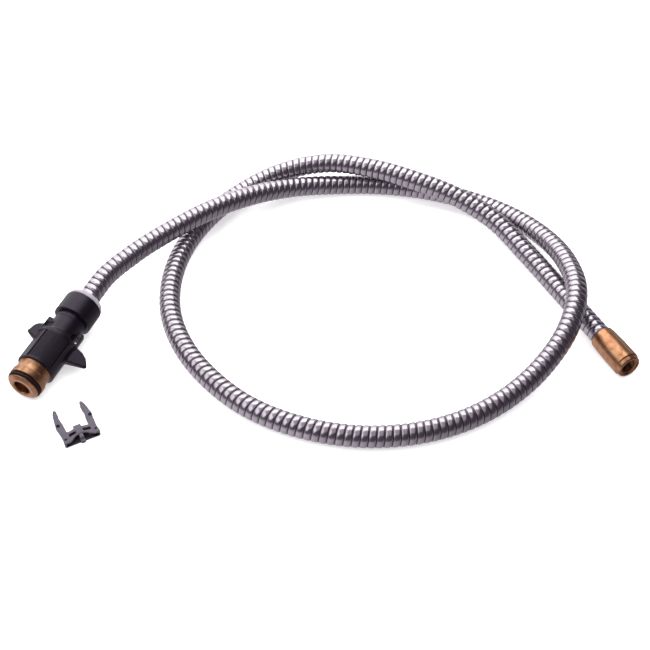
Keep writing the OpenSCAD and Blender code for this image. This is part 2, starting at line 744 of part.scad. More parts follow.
module outlet_nipple() {
    color("peru") at_outlet() turned(concat(
        [[tail_bore_d / 2, cover_tuck]],
        [for (i = [len(barb_points(cover_tuck, o_shoulder)) - 1 : -1 : 0])
            let (p = barb_points(0, o_shoulder - cover_tuck)[i]) [p[0], o_shoulder - p[1]]],
        [[tail_core_d / 2, o_shoulder], [shoulder_r, o_shoulder], [shoulder_r, o_shoulder + shoulder_t],
         [pivot_d / 2, o_shoulder + shoulder_t], [pivot_d / 2, o_flange], [flange_d / 2, o_flange],
         [flange_d / 2, o_flange + flange_t], [tail_bore_d / 2, o_flange + flange_t]]));
}

module outlet_ferrule() {
    color("lightgray") at_outlet()
        tube(liner_r + seat_fit, ferrule_d / 2, o_ferrule, o_ferrule + outlet_ferrule_len);
}

module outlet_washer() {
    color("black") at_outlet() tube(washer_hole_d / 2, flange_d / 2, o_washer, o_washer + washer_t);
}

// ---- Locking clip ----------------------------------------------------------------------

// Right half of the clip's outline, with the base along y = 0 and the prongs towards +Y
module clip_half() {
    inner = clip_gap / 2;
    edge = clip_w / 2;
    waist_y = 6;
    bulge_y = 17.3;
    bulge_half = 4.5;
    bulge_step = 0.6;
    shoulder_y = 27.2;
    shoulder_w = 3.6;
    hollow_y = 22;
    hollow = 0.9;
    tip_w = 0.9;
    tip_x = inner + 1.7;
    tip_back = 0.8;
    bar_drop = 0.2;
    polygon([
        [0, clip_bow], [edge * 0.28, clip_bow * 0.8], [edge * 0.5, clip_bow * 0.35],
        [edge * 0.7, bar_drop / 2], [edge - bulge_step, 0], [edge, tip_w],
        [inner + prong_waist, waist_y], [inner + prong_w - bulge_step, bulge_y - bulge_half],
        [inner + prong_w, bulge_y], [inner + prong_w - bulge_step, bulge_y + bulge_half],
        [inner + shoulder_w, shoulder_y], [tip_x + tip_w, clip_reach - tip_back], [tip_x, clip_reach],
        [tip_x - tip_w, clip_reach - tip_back / 2], [inner + bar_drop * 2, clip_reach - 2 * tip_back],
        [inner + hollow / 2, (hollow_y + shoulder_y) / 2], [inner + hollow, hollow_y],
        [inner + bar_drop, bulge_y], [inner, clip_bar + bulge_step], [inner - bulge_step, clip_bar - bar_drop],
        [clip_tab_w, clip_bar + bar_drop], [clip_tab_w / 2, clip_bar + tip_w],
        [clip_tab_w / 2, clip_bar + clip_tab_len], [0, clip_bar + clip_tab_len]]);
}

module clip_slot_cut() {
    slot_y = 4.6;
    slot_w = 2.2;
    slot_rise = 1.2;
    slot_end = 0.4;
    from = clip_tab_w / 2;
    to = clip_gap / 2 - slot_end;
    polygon([[from, slot_y + slot_rise], [to, slot_y], [to, slot_y + slot_w],
             [from, slot_y + slot_rise + slot_w - slot_end]]);
}

module locking_clip() {
    edge = clip_w / 2;
    nub_w = 3;
    nub_out = 1.2;
    nub_t = 2.4;
    nub_in = 1;
    dimple_y = 16.3;
    dimple_edge = 0.6;
    foot_in = 0.6;
    foot_back = 1;
    color([0.42, 0.4, 0.45]) translate(clip_place) rotate(clip_turn) difference() {
        union() {
            for (side = [0, 1]) mirror([side, 0, 0]) linear_extrude(clip_t) clip_half();
            // Straight foot under the bowed base, with a nub at its middle
            linear_extrude(clip_foot_t)
                polygon([[-edge + foot_in, 0], [edge - foot_in, 0],
                         [edge - foot_back, clip_bar / 2], [-edge + foot_back, clip_bar / 2]]);
            translate([-nub_w / 2, -nub_out, 0]) cube([nub_w, clip_bow + nub_out + nub_in, nub_t]);
        }
        for (side = [0, 1]) mirror([side, 0, 0]) {
            translate([0, 0, -1]) linear_extrude(clip_t + 2) clip_slot_cut();
            translate([clip_gap / 2 + prong_w - dimple_d / 2 - dimple_edge, dimple_y, clip_t - dimple_depth])
                cylinder(d = dimple_d, h = dimple_depth + 1, $fn = 32);
        }
    }
}

hose_cover();
hose_liner();
coupling_body();
coupling_collar();
guide_ring();
spigot();
spigot_o_ring();
spigot_seal();
valve_cage();
valve_poppet();
valve_seal();
valve_spring();
valve_ring();
hose_stem();
stem_o_rings();
inlet_ferrule();
outlet_sleeve();
outlet_nipple();
outlet_ferrule();
outlet_washer();
locking_clip();
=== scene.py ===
"""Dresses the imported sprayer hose: wound cover, winged coupling, brass plug, brass sleeve and loose clip."""

import logging
import math
from dataclasses import dataclass, field
from enum import Enum
from typing import Any, Callable, Sequence

import bpy
import numpy as np
from mathutils import Matrix, Vector


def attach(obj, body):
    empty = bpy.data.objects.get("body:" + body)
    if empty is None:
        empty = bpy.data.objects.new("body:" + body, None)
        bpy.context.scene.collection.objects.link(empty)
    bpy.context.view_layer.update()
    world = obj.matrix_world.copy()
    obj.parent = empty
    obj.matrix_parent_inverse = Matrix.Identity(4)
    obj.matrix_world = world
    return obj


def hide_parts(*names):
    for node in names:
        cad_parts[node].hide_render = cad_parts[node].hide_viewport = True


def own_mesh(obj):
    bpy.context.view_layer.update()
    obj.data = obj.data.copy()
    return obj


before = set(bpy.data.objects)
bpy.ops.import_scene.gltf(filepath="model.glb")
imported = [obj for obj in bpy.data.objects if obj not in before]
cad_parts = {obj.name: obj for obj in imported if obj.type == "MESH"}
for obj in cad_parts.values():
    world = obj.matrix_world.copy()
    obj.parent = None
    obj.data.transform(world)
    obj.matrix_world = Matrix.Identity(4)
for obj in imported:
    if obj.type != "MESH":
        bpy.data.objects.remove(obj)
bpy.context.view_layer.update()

log = logging.getLogger("sprayer_hose")
MM = 0.001
Point = tuple[float, float, float]
Colour = tuple[float, float, float]
Corner = tuple[float, ...]
Array = np.ndarray


class Body(Enum):
    """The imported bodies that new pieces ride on."""

    HOSE = "hose"
    COUPLING = "coupling"
    OUTLET = "outlet"
    CLIP = "clip"


class Slot(Enum):
    """The record's material slots."""

    WOUND_STRIP = "wound_strip"
    LINER = "liner"
    BLACK = "black_plastic"
    GREY = "grey_plastic"
    WHITE = "white_plastic"
    CLIP = "clip_plastic"
    BRASS = "brass_parts"
    RUBBER = "seal_rubber"
    SPRING = "spring_steel"
    FERRULE = "ferrule_metal"


# ---- Shader expressions ----------------------------------------------------------------


class Sock:
    """A socket of a material; its operators add Math nodes."""

    def __init__(self, shop: "NodeShop", socket: bpy.types.NodeSocket) -> None:
        """Keeps the socket and the shop that makes nodes beside it."""
        self.shop = shop
        self.socket = socket

    def _math(self, operation: str, first: Any, second: Any = None) -> "Sock":
        """Adds one Math node.

        Args:
            operation: Blender's name of the operation.
            first: Left value.
            second: Right value, if the operation has one.

        Returns:
            The node's result.
        """
        values = (first,) if second is None else (first, second)
        return self.shop.node("ShaderNodeMath", {"operation": operation}, *values)

    def __add__(self, other: Any) -> "Sock":
        """Self plus other."""
        return self._math("ADD", self, other)

    __radd__ = __add__

    def __sub__(self, other: Any) -> "Sock":
        """Self minus other."""
        return self._math("SUBTRACT", self, other)

    def __rsub__(self, other: Any) -> "Sock":
        """Other minus self."""
        return self._math("SUBTRACT", other, self)

    def __mul__(self, other: Any) -> "Sock":
        """Self times other."""
        return self._math("MULTIPLY", self, other)

    __rmul__ = __mul__

    def sine(self) -> "Sock":
        """Sine of self, in radians."""
        return self._math("SINE", self)

    def band(self, low: float, high: float) -> "Sock":
        """Self mapped from low..high to 0..1 and clamped."""
        return self.shop.node("ShaderNodeMapRange", {"clamp": True}, self, low, high)

    def output(self, name: str) -> "Sock":
        """Another output of the node that self comes from."""
        return Sock(self.shop, self.socket.node.outputs[name])


class NodeShop:
    """Makes the nodes of one material, or of the surroundings."""

    def __init__(self, tree: bpy.types.NodeTree) -> None:
        """Keeps the tree that the nodes go into."""
        self.tree = tree

    def node(self, kind: str, settings: dict[str, Any] | None = None, *values: Any, **named: Any) -> Sock:
        """Adds a node of any type.

        Args:
            kind: Blender's name of the node type.
            settings: The node's own settings, set first.
            values: Values or links for its first sockets, in order.
            named: Values or links for sockets by name, with _ for a space.

        Returns:
            The node's first visible output.
        """
        made = self.tree.nodes.new(kind)
        for key, value in (settings or {}).items():
            setattr(made, key, value)
        open_sockets = [s for s in made.inputs if s.enabled]
        for socket, value in zip(open_sockets, values):
            self._feed(socket, value)
        for key, value in named.items():
            wanted = key.replace("_", " ")
            self._feed(next(s for s in open_sockets if s.name == wanted), value)
        return Sock(self, next(s for s in made.outputs if s.enabled))

    def _feed(self, socket: bpy.types.NodeSocket, value: Any) -> None:
        """Links or sets one input socket.

        Args:
            socket: The socket.
            value: A link, a colour or a number.
        """
        if isinstance(value, Sock):
            self.tree.links.new(value.socket, socket)
        elif isinstance(value, tuple) and socket.type == "RGBA" and len(value) == 3:
            socket.default_value = (*value, 1.0)
        else:
            socket.default_value = value

    def mix(self, share: Any, first: Any, second: Any) -> Sock:
        """Mixes two colours by a share from 0 to 1."""
        return self.node("ShaderNodeMix", {"data_type": "RGBA", "clamp_factor": True}, share, first, second)

    def local(self, place: "Placement") -> Sock:
        """Object coordinates turned into a fitting's own, in metres, with Z along its axis.

        Args:
            place: Where the fitting stands.

        Returns:
            The coordinates.
        """
        back = place.matrix().inverted()
        spin = back.to_3x3().normalized().to_euler("XYZ")
        shift = Vector(back.translation) * MM
        coords = self.node("ShaderNodeTexCoord").output("Object")
        return self.node("ShaderNodeMapping", {"vector_type": "POINT"}, coords, tuple(shift), tuple(spin))

    def noise(self, vector: Sock, size_mm: float, detail: float = 2.0, rough: float = 0.5) -> Sock:
        """Noise from 0 to 1 whose blotches are about size_mm wide."""
        return self.node(
            "ShaderNodeTexNoise", {"noise_dimensions": "3D"}, vector,
            Scale=1.0 / (size_mm * MM), Detail=detail, Roughness=rough)

    def stretched(self, vector: Sock, by: Point) -> Sock:
        """Scales a vector along its three axes."""
        return self.node("ShaderNodeVectorMath", {"operation": "MULTIPLY"}, vector, by)

    def attribute(self, name: str) -> Sock:
        """A mesh attribute's number."""
        return self.node("ShaderNodeAttribute", {"attribute_name": name}).output("Fac")

    def edges(self) -> Sock:
        """About 0.5 on flat stretches, more on ridges and less in hollows."""
        return self.node("ShaderNodeNewGeometry").output("Pointiness")

    def bump(self, height: Sock, depth_mm: float, strength: float = 1.0) -> Sock:
        """A bumped normal from a height of 0 to 1."""
        return self.node("ShaderNodeBump", {}, Strength=strength, Distance=depth_mm * MM, Height=height)

    def surface(self, **inputs: Any) -> None:
        """Ends the material in a Principled BSDF.

        Args:
            inputs: Values or links for its sockets by name, with _ for a space.
        """
        shader = self.node("ShaderNodeBsdfPrincipled", {}, **inputs)
        end = self.tree.nodes.new("ShaderNodeOutputMaterial")
        self.tree.links.new(shader.socket, end.inputs["Surface"])


# ---- Places ----------------------------------------------------------------------------


@dataclass(frozen=True)
class Placement:
    """Where a fitting stands, in mm.

    It has a point of its axis, the axis, the turn about it in degrees, and the station that is at the point.
    """

    point: Point = (0.0, 0.0, 0.0)
    axis: Point = (0.0, 0.0, 1.0)
    roll: float = 0.0
    station: float = 0.0

    def matrix(self) -> Matrix:
        """From the fitting's own millimetres to the row frame's millimetres.

        Returns:
            The matrix.
        """
        axis = Vector(self.axis).normalized()
        heading = math.atan2(axis.y, axis.x)
        turn = Matrix.Rotation(heading, 4, "Z") @ Matrix.Rotation(math.acos(axis.z), 4, "Y")
        turn = turn @ Matrix.Rotation(math.radians(self.roll), 4, "Z")
        return Matrix.Translation(self.point) @ turn @ Matrix.Translation((0, 0, -self.station))


# ---- Finishes --------------------------------------------------------------------------


@dataclass(frozen=True)
class Finish:
    """A finish that can be laid on a piece standing at a place."""

    name: str

    def dress(self, shop: NodeShop, coords: Sock) -> None:
        """Fills the material; each finish does this in its own way.

        Args:
            shop: Makes the material's nodes.
            coords: The fitting's own coordinates, in metres.
        """
        raise NotImplementedError

    def material(self, place: Placement) -> bpy.types.Material:
        """Makes the material for a piece.

        Args:
            place: The piece's place, which gives the finish its axis.

        Returns:
            The material, made once for each finish and place.
        """
        key = f"{self.name}_{abs(hash(place)) % 100000}"
        known = bpy.data.materials.get(key)
        if known:
            return known
        made = bpy.data.materials.new(key)
        made.use_nodes = True
        made.node_tree.nodes.clear()
        shop = NodeShop(made.node_tree)
        self.dress(shop, shop.local(place))
        return made


@dataclass(frozen=True)
class WoundSteel(Finish):
    """Polished steel strip with duller grooves between its turns, darkened with painted shade."""

    strip: Colour = (0.46, 0.425, 0.465)
    worn: Colour = (0.36, 0.325, 0.365)
    # Near-black colour painted into the grooves as shade
    groove: Colour = (0.075, 0.056, 0.075)
    rough: float = 0.12
    smear_mm: float = 6.0
    scratch_mm: float = 0.9
    scratch_depth: float = 0.01

    def dress(self, shop: NodeShop, coords: Sock) -> None:
        """Strip with faint wear, and grooves by the mesh's own depth, rougher and darkened with painted shade
        as they deepen.

        Args:
            shop: Makes the material's nodes.
            coords: The fitting's own coordinates, in metres.
        """
        depth = shop.attribute("groove")
        smear = shop.noise(coords, self.smear_mm, 3.0)
        scratch = shop.noise(shop.stretched(coords, (1.0, 1.0, 6.0)), self.scratch_mm, 4.0, 0.65)
        base = shop.mix(smear.band(0.35, 0.75) * 0.7, self.strip, self.worn)
        shop.surface(
            # Painted shade: the deeper the groove, the nearer the colour comes to the groove colour
            Base_Color=shop.mix(depth.band(0.35, 1.0), base, self.groove),
            Metallic=1.0,
            Roughness=scratch * 0.12 + smear * 0.08 + depth * 0.20 + self.rough,
            Normal=shop.bump(scratch, self.scratch_depth, 0.35))


@dataclass(frozen=True)
class MouldedPlastic(Finish):
    """Satin moulded plastic: fine grain, flow streaks, rubbed edges, duller gripping faces, painted shade in
    pockets.
    """

    base: Colour = (0.0032, 0.0022, 0.0042)
    rubbed: Colour = (0.018, 0.014, 0.022)
    rough: float = 0.36
    grain_mm: float = 0.35
    grain_depth: float = 0.012
    flow_mm: float = 5.0
    gloss: float = 0.42
    sheen: Colour = (0.90, 0.76, 1.0)

    def dress(self, shop: NodeShop, coords: Sock) -> None:
        """Grain in bump and roughness, blotches, lighter edges and painted pocket shade in colour.

        Args:
            shop: Makes the material's nodes.
            coords: The fitting's own coordinates, in metres.
        """
        grain = shop.noise(coords, self.grain_mm, 2.0)
        flow = shop.noise(shop.stretched(coords, (1.0, 1.0, 0.25)), self.flow_mm, 3.0)
        edge = shop.edges().band(0.51, 0.60)
        dull = shop.attribute("dull")
        deep = tuple(c * 0.7 for c in self.base)
        body = shop.mix(flow.band(0.3, 0.7), self.base, deep)
        # Painted shade: points marked as lying in a pocket take a near-black copy of the base colour
        body = shop.mix(shop.attribute("pocket_painted_shade"), body, tuple(c * 0.12 for c in self.base))
        shop.surface(
            Base_Color=shop.mix(edge * flow.band(0.2, 0.6) * (1.0 - dull) * 0.55, body, self.rubbed),
            Roughness=grain * 0.14 + flow * 0.10 + dull * 0.30 + (self.rough - 0.12),
            Specular_IOR_Level=self.gloss,
            Specular_Tint=self.sheen,
            Normal=shop.bump(grain, self.grain_depth, 0.6))


@dataclass(frozen=True)
class TurnedBrass(Finish):
    """Turned brass with tool lines round its axis and a warm, slightly tarnished colour."""

    bright: Colour = (0.47, 0.265, 0.155)
    warm: Colour = (0.38, 0.17, 0.075)
    tarnish: Colour = (0.20, 0.062, 0.024)
    rough: float = 0.19
    line_mm: float = 0.28
    line_depth: float = 0.006
    fine_mm: float = 0.12
    wobble_mm: float = 7.0
    stain_mm: float = 4.5

    def dress(self, shop: NodeShop, coords: Sock) -> None:
        """Fine rings of tool lines, blotches of tarnish, darker hollows.

        Args:
            shop: Makes the material's nodes.
            coords: The fitting's own coordinates, in metres.
        """
        along = shop.node("ShaderNodeSeparateXYZ", {}, coords).output("Z")
        wobble = shop.noise(coords, self.wobble_mm, 2.0)
        lines = ((along * (2 * math.pi / (self.line_mm * MM)) + wobble * 3.0).sine() + 1.0) * 0.5
        fine = shop.noise(shop.stretched(coords, (0.05, 0.05, 1.0)), self.fine_mm, 3.0, 0.7)
        stain = shop.noise(coords, self.stain_mm, 4.0, 0.6)
        hollow = 1.0 - shop.edges().band(0.40, 0.50)
        tone = shop.mix(stain.band(0.35, 0.7), self.bright, self.warm)
        mark = stain.band(0.54, 0.80) * 0.6 + hollow * 0.6
        shop.surface(
            Base_Color=shop.mix(mark, tone, self.tarnish),
            Metallic=1.0,
            Roughness=fine * 0.12 + stain * 0.14 + hollow * 0.15 + self.rough,
            Normal=shop.bump(lines * 0.5 + fine * 0.5, self.line_depth, 0.7))


@dataclass(frozen=True)
class SealRubber(Finish):
    """Black rubber, a little greased, with a faint mould skin."""

    base: Colour = (0.0095, 0.0035, 0.0032)
    dust: Colour = (0.018, 0.009, 0.008)
    rough: float = 0.46
    gloss: float = 0.16
    skin_mm: float = 0.5
    skin_depth: float = 0.02
    grease_mm: float = 3.0

    def dress(self, shop: NodeShop, coords: Sock) -> None:
        """Uneven sheen from grease, and dust specks.

        Args:
            shop: Makes the material's nodes.
            coords: The fitting's own coordinates, in metres.
        """
        skin = shop.noise(coords, self.skin_mm, 3.0)
        grease = shop.noise(coords, self.grease_mm, 2.0)
        shop.surface(
            Base_Color=shop.mix(skin.band(0.55, 0.8), self.base, self.dust),
            Roughness=grease.band(0.3, 0.7) * 0.25 + skin * 0.1 + (self.rough - 0.1),
            Specular_IOR_Level=self.gloss,
            Normal=shop.bump(skin, self.skin_depth, 0.4))


@dataclass(frozen=True)
class BrightSteel(Finish):
    """Drawn or pressed steel with fine lines along the work."""

    base: Colour = (0.62, 0.61, 0.62)
    dull: Colour = (0.42, 0.41, 0.42)
    rough: float = 0.15
    line_mm: float = 0.2
    line_depth: float = 0.004
    patch_mm: float = 3.0

    def dress(self, shop: NodeShop, coords: Sock) -> None:
        """Drawing lines along the axis and dull patches.

        Args:
            shop: Makes the material's nodes.
            coords: The fitting's own coordinates, in metres.
        """
        lines = shop.noise(shop.stretched(coords, (1.0, 1.0, 0.05)), self.line_mm, 3.0)
        patch = shop.noise(coords, self.patch_mm, 2.0)
        shop.surface(
            Base_Color=shop.mix(patch.band(0.4, 0.8), self.base, self.dull),
            Metallic=1.0,
            Roughness=lines * 0.2 + patch * 0.1 + self.rough,
            Normal=shop.bump(lines, self.line_depth, 0.5))


@dataclass(frozen=True)
class StudioFloor(Finish):
    """Plain pale sweep."""

    base: Colour = (0.90, 0.90, 0.90)
    glow: float = 0.55
    mottle_mm: float = 60.0

    def dress(self, shop: NodeShop, coords: Sock) -> None:
        """Matt white with a hardly visible mottle.

        Args:
            shop: Makes the material's nodes.
            coords: The fitting's own coordinates, in metres.
        """
        mottle = shop.noise(coords, self.mottle_mm, 2.0)
        shade = tuple(c * 0.985 for c in self.base)
        shop.surface(
            Base_Color=shop.mix(mottle, self.base, shade), Roughness=0.9, Specular_IOR_Level=0.1,
            Emission_Color=(1.0, 1.0, 1.0), Emission_Strength=self.glow)


STRIP = WoundSteel("wound_steel")
BLACK = MouldedPlastic("black_plastic")
RING_GREY = MouldedPlastic(
    "ring_plastic", base=(0.40, 0.365, 0.42), rubbed=(0.48, 0.45, 0.50), rough=0.45, grain_depth=0.006)
CLIP_GREY = MouldedPlastic(
    "clip_plastic", base=(0.092, 0.082, 0.101), rubbed=(0.20, 0.19, 0.21), rough=0.46)
WHITE = MouldedPlastic(
    "valve_plastic", base=(0.80, 0.80, 0.77), rubbed=(0.86, 0.86, 0.84), rough=0.4, grain_depth=0.006)
BRASS = TurnedBrass("turned_brass")
# Near-black brass for the hose stem: painted shade where the stem shows through the housing's slots
BRASS_PAINTED_SHADE = TurnedBrass(
    "brass_painted_shade", bright=(0.09, 0.05, 0.03), warm=(0.06, 0.03, 0.018), tarnish=(0.03, 0.014, 0.01))
RUBBER = SealRubber("seal_rubber")
LINER = SealRubber("liner_rubber", base=(0.05, 0.05, 0.055), dust=(0.09, 0.09, 0.095), rough=0.5)
STEEL = BrightSteel("bright_steel")


# ---- Shapes ----------------------------------------------------------------------------

SHARP_ANGLE = math.radians(40)  # edges that turn by more stay sharp
REACH_LIMIT = 0.49  # share of an edge that one rounding may take


def new_object(name: str, data: bpy.types.ID) -> bpy.types.Object:
    """Puts an object with this data into the scene.

    Args:
        name: The object's name.
        data: Its mesh, camera or light.

    Returns:
        The object.
    """
    made = bpy.data.objects.new(name, data)
    bpy.context.scene.collection.objects.link(made)
    return made


def aimed(name: str, data: bpy.types.ID, at: Vector, back: Vector) -> bpy.types.Object:
    """Puts a camera or a light into the scene.

    Args:
        name: Its name.
        data: Its camera or light.
        at: Its place.
        back: The way that its back points; it looks the other way.

    Returns:
        The object.
    """
    made = new_object(name, data)
    made.location = at
    made.rotation_mode = "QUATERNION"
    made.rotation_quaternion = back.to_track_quat("Z", "Y")
    return made


@dataclass
class Shape:
    """A mesh in a fitting's own millimetres, with normals where they are known and numbers for each point."""

    points: Array
    faces: list[list[int]]
    normals: Array | None = None
    numbers: dict[str, Array] = field(default_factory=dict)

    def piece(
        self, name: str, place: Placement, finish: Finish, body: Body, slot: Slot, stands_for: Sequence[str]
    ) -> bpy.types.Object:
        """Makes the Blender object in the row frame.

        Args:
            name: The piece's name.
            place: Where its fitting stands.
            finish: What it is dressed in.
            body: The body that it rides on.
            slot: The record's slot of its finish; not used.
            stands_for: CAD nodes that it replaces.

        Returns:
            The object, riding on its body.
        """
        matrix = np.array(place.matrix())
        points = (self.points @ matrix[:3, :3].T + matrix[:3, 3]) * MM
        mesh = bpy.data.meshes.new(name)
        mesh.from_pydata(points.tolist(), [], self.faces)
        mesh.polygons.foreach_set("use_smooth", [True] * len(mesh.polygons))
        for key, values in self.numbers.items():
            mesh.attributes.new(key, "FLOAT", "POINT").data.foreach_set("value", values.astype(np.float32))
        mesh.materials.append(finish.material(place))
        mesh.update()
        if self.normals is None:
            mesh.set_sharp_from_angle(angle=SHARP_ANGLE)
        else:
            mesh.normals_split_custom_set_from_vertices((self.normals @ matrix[:3, :3].T).tolist())
        made = new_object(name, mesh)
        if self.normals is None and not self.numbers:
            made.modifiers.new("even_normals", "WEIGHTED_NORMAL").keep_sharp = True
        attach(made, body.value)
        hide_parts(*stands_for)
        log.info("%s: %d points, %d faces", name, len(self.points), len(self.faces))
        return made


def rounded(corners: Sequence[Corner], chords: int = 4) -> list[tuple[float, float]]:
    """Rounds the corners of a closed outline.

    Args:
        corners: (x, y) or (x, y, rounding) of each corner, in order.
        chords: Straight bits in each rounding.

    Returns:
        The outline's points.
    """
    found: list[tuple[float, float]] = []
    count = len(corners)
    for i, corner in enumerate(corners):
        here = Vector(corner[:2])
        size = corner[2] if len(corner) > 2 else 0.0
        if size <= 0:
            found.append((here.x, here.y))
            continue
        before = Vector(corners[i - 1][:2]) - here
        after = Vector(corners[(i + 1) % count][:2]) - here
        half = before.angle(after) / 2
        reach = min(size / math.tan(half), before.length * REACH_LIMIT, after.length * REACH_LIMIT)
        start, end = here + before.normalized() * reach, here + after.normalized() * reach
        for k in range(chords + 1):
            t = k / chords
            p = start * (1 - t) ** 2 + here * (2 * t * (1 - t)) + end * t**2
            found.append((p.x, p.y))
    return found


def ring_quads(
    rings: int, sides: int, first: int = 0, looped: bool = False, inward: bool = False
) -> list[list[int]]:
    """Quads between rings of points, each ring closed in itself.

    Args:
        rings: Number of rings, one after the other.
        sides: Points in each ring.
        first: Number of the first ring's first point.
        looped: Whether the last ring joins the first one.
        inward: Whether the quads face the other way.

    Returns:
        The quads' point numbers.
    """
    faces = []
    for i in range(rings if looped else rings - 1):
        here, there = first + i * sides, first + (i + 1) % rings * sides
        for k in range(sides):
            m = (k + 1) % sides
            quad = [here + k, there + k, there + m, here + m]
            faces.append([quad[0], quad[3], quad[2], quad[1]] if inward else quad)
    return faces


def turned(outline: Sequence[tuple[float, float]], segments: int) -> Shape:
    """Turns a closed outline of (radius, station) points about the axis.

    Args:
        outline: The outline, clear of the axis, anticlockwise with the radius to the right.
        segments: Steps round the axis.

    Returns:
        The ring-shaped mesh.
    """
    rs = np.array([p[0] for p in outline])
    zs = np.array([p[1] for p in outline])
    a = np.arange(segments) * (2 * math.pi / segments)
    points = np.stack([
        np.outer(np.cos(a), rs), np.outer(np.sin(a), rs), np.broadcast_to(zs, (segments, len(rs)))], axis=2)
    return Shape(points.reshape(-1, 3), ring_quads(segments, len(rs), looped=True))


Field = Callable[[Array, Array, Array], Array]


def unit_slope(depth: Field, points: Array, step: float) -> Array:
    """Which way a distance field rises fastest.

    Args:
        depth: The field.
        points: Where it is wanted.
        step: How far to either side of a point the field is read.

    Returns:
        A vector of length 1 for each point.
    """
    x, y, z = points.T
    slope = np.stack([
        depth(x + step, y, z) - depth(x - step, y, z),
        depth(x, y + step, z) - depth(x, y - step, z),
        depth(x, y, z + step) - depth(x, y, z - step)], axis=1)
    return slope / np.maximum(np.linalg.norm(slope, axis=1), 1e-9)[:, None]


def surface_net(depth: Field, low: Point, high: Point, cell: float) -> Shape:
    """Meshes the surface on which a distance field is zero.

    Args:
        depth: Signed distance in mm, negative inside, for arrays of x, y and z.
        low: Lowest corner of the box to mesh.
        high: Highest corner of the box.
        cell: Size of the grid's cells.

    Returns:
        A closed mesh of quads with the field's own normals.
    """
    axes = [np.arange(a, b + cell, cell) for a, b in zip(low, high)]
    grid = np.meshgrid(*axes, indexing="ij", sparse=True)
    values = np.broadcast_to(depth(*grid), tuple(len(a) for a in axes)).astype(float)
    inside = values < 0
    cells = tuple(n - 1 for n in values.shape)
    total, count = np.zeros((*cells, 3)), np.zeros(cells)
    quads = []
    for axis in range(3):
        near = [slice(None)] * 3
        far = [slice(None)] * 3
        near[axis], far[axis] = slice(None, -1), slice(1, None)
        crossed = inside[tuple(near)] != inside[tuple(far)]
        at = np.argwhere(crossed)
        a, b = values[tuple(near)][crossed], values[tuple(far)][crossed]
        where = at.astype(float)
        where[:, axis] += a / (a - b)
        u, v = (axis + 1) % 3, (axis + 2) % 3
        ring = []
        for du, dv in ((-1, -1), (0, -1), (0, 0), (-1, 0)):
            cell_at = at.copy()
            cell_at[:, u] += du
            cell_at[:, v] += dv
            np.add.at(total, tuple(cell_at.T), where)
            np.add.at(count, tuple(cell_at.T), 1)
            ring.append(cell_at)
        quads.append((ring, inside[tuple(near)][crossed]))
    used = count > 0
    number = np.full(cells, -1)
    number[used] = np.arange(int(used.sum()))
    points = np.array(low) + total[used] / count[used][:, None] * cell
    faces: list[list[int]] = []
    for ring, outward in quads:
        ids = np.stack([number[tuple(c.T)] for c in ring], axis=1)
        faces += np.where(outward[:, None], ids, ids[:, ::-1]).tolist()
    passes, step, most = 3, 0.02, cell * 0.4
    for _ in range(passes):
        shift = np.clip(depth(*points.T), -most, most)
        points = points - unit_slope(depth, points, step) * shift[:, None]
    return Shape(points, faces, normals=unit_slope(depth, points, cell / 3))


class Solids:
    """Signed distances of simple solids, in mm, and the ways in which they are put together."""

    @staticmethod
    def outline(x: Array, y: Array, corners: Sequence[tuple[float, float]]) -> Array:
        """Distance to a closed outline in a plane.

        Args:
            x: First coordinates.
            y: Second coordinates.
            corners: The outline's corners, in order.

        Returns:
            The signed distances.
        """
        best: Array | float = np.inf
        sign: Array | float = 1.0
        count = len(corners)
        for i in range(count):
            ax, ay = corners[i]
            bx, by = corners[i - 1]
            ex, ey = bx - ax, by - ay
            wx, wy = x - ax, y - ay
            t = np.clip((wx * ex + wy * ey) / max(ex * ex + ey * ey, 1e-12), 0, 1)
            best = np.minimum(best, (wx - ex * t) ** 2 + (wy - ey * t) ** 2)
            one, two, three = y >= ay, y < by, ex * wy > ey * wx
            flip = (one & two & three) | (~one & ~two & ~three)
            sign = np.where(flip, -sign, sign)
        return sign * np.sqrt(best)

    @staticmethod
    def thick(flat: Array, across: Array, edge: float) -> Array:
        """A plane distance given a thickness, with its edges rounded."""
        a, b = flat + edge, across + edge
        return np.sqrt(np.maximum(a, 0) ** 2 + np.maximum(b, 0) ** 2) + np.minimum(np.maximum(a, b), 0) - edge

    @staticmethod
    def rod(x: Array, y: Array, z: Array, r: float, low: float, high: float, edge: float = 0.0) -> Array:
        """A cylinder along z with rounded edges."""
        return Solids.thick(np.sqrt(x * x + y * y) - r, np.abs(z - (low + high) / 2) - (high - low) / 2, edge)

    @staticmethod
    def block(x: Array, y: Array, z: Array, low: Point, high: Point, edge: float = 0.0) -> Array:
        """A box with rounded edges.

        Args:
            x: Coordinates along its first side.
            y: Coordinates along its second side.
            z: Coordinates along its third side.
            low: Its lowest corner.
            high: Its highest corner.
            edge: The edges' rounding.

        Returns:
            The signed distances.
        """
        parts = [np.abs(v - (a + b) / 2) - (b - a) / 2 + edge for v, a, b in zip((x, y, z), low, high)]
        outside = np.sqrt(sum(np.maximum(p, 0) ** 2 for p in parts))
        within = np.minimum(np.maximum(np.maximum(parts[0], parts[1]), parts[2]), 0)
        return outside + within - edge

    @staticmethod
    def joined(a: Array, b: Array, fillet: float) -> Array:
        """Both solids, with a fillet where they meet."""
        h = np.maximum(fillet - np.abs(a - b), 0) / fillet
        return np.minimum(a, b) - h * h * fillet / 4

    @staticmethod
    def cut(a: Array, b: Array, edge: float) -> Array:
        """The first solid without the second, with a rounded edge."""
        return -Solids.joined(-a, b, edge)


# ---- Hose ------------------------------------------------------------------------------


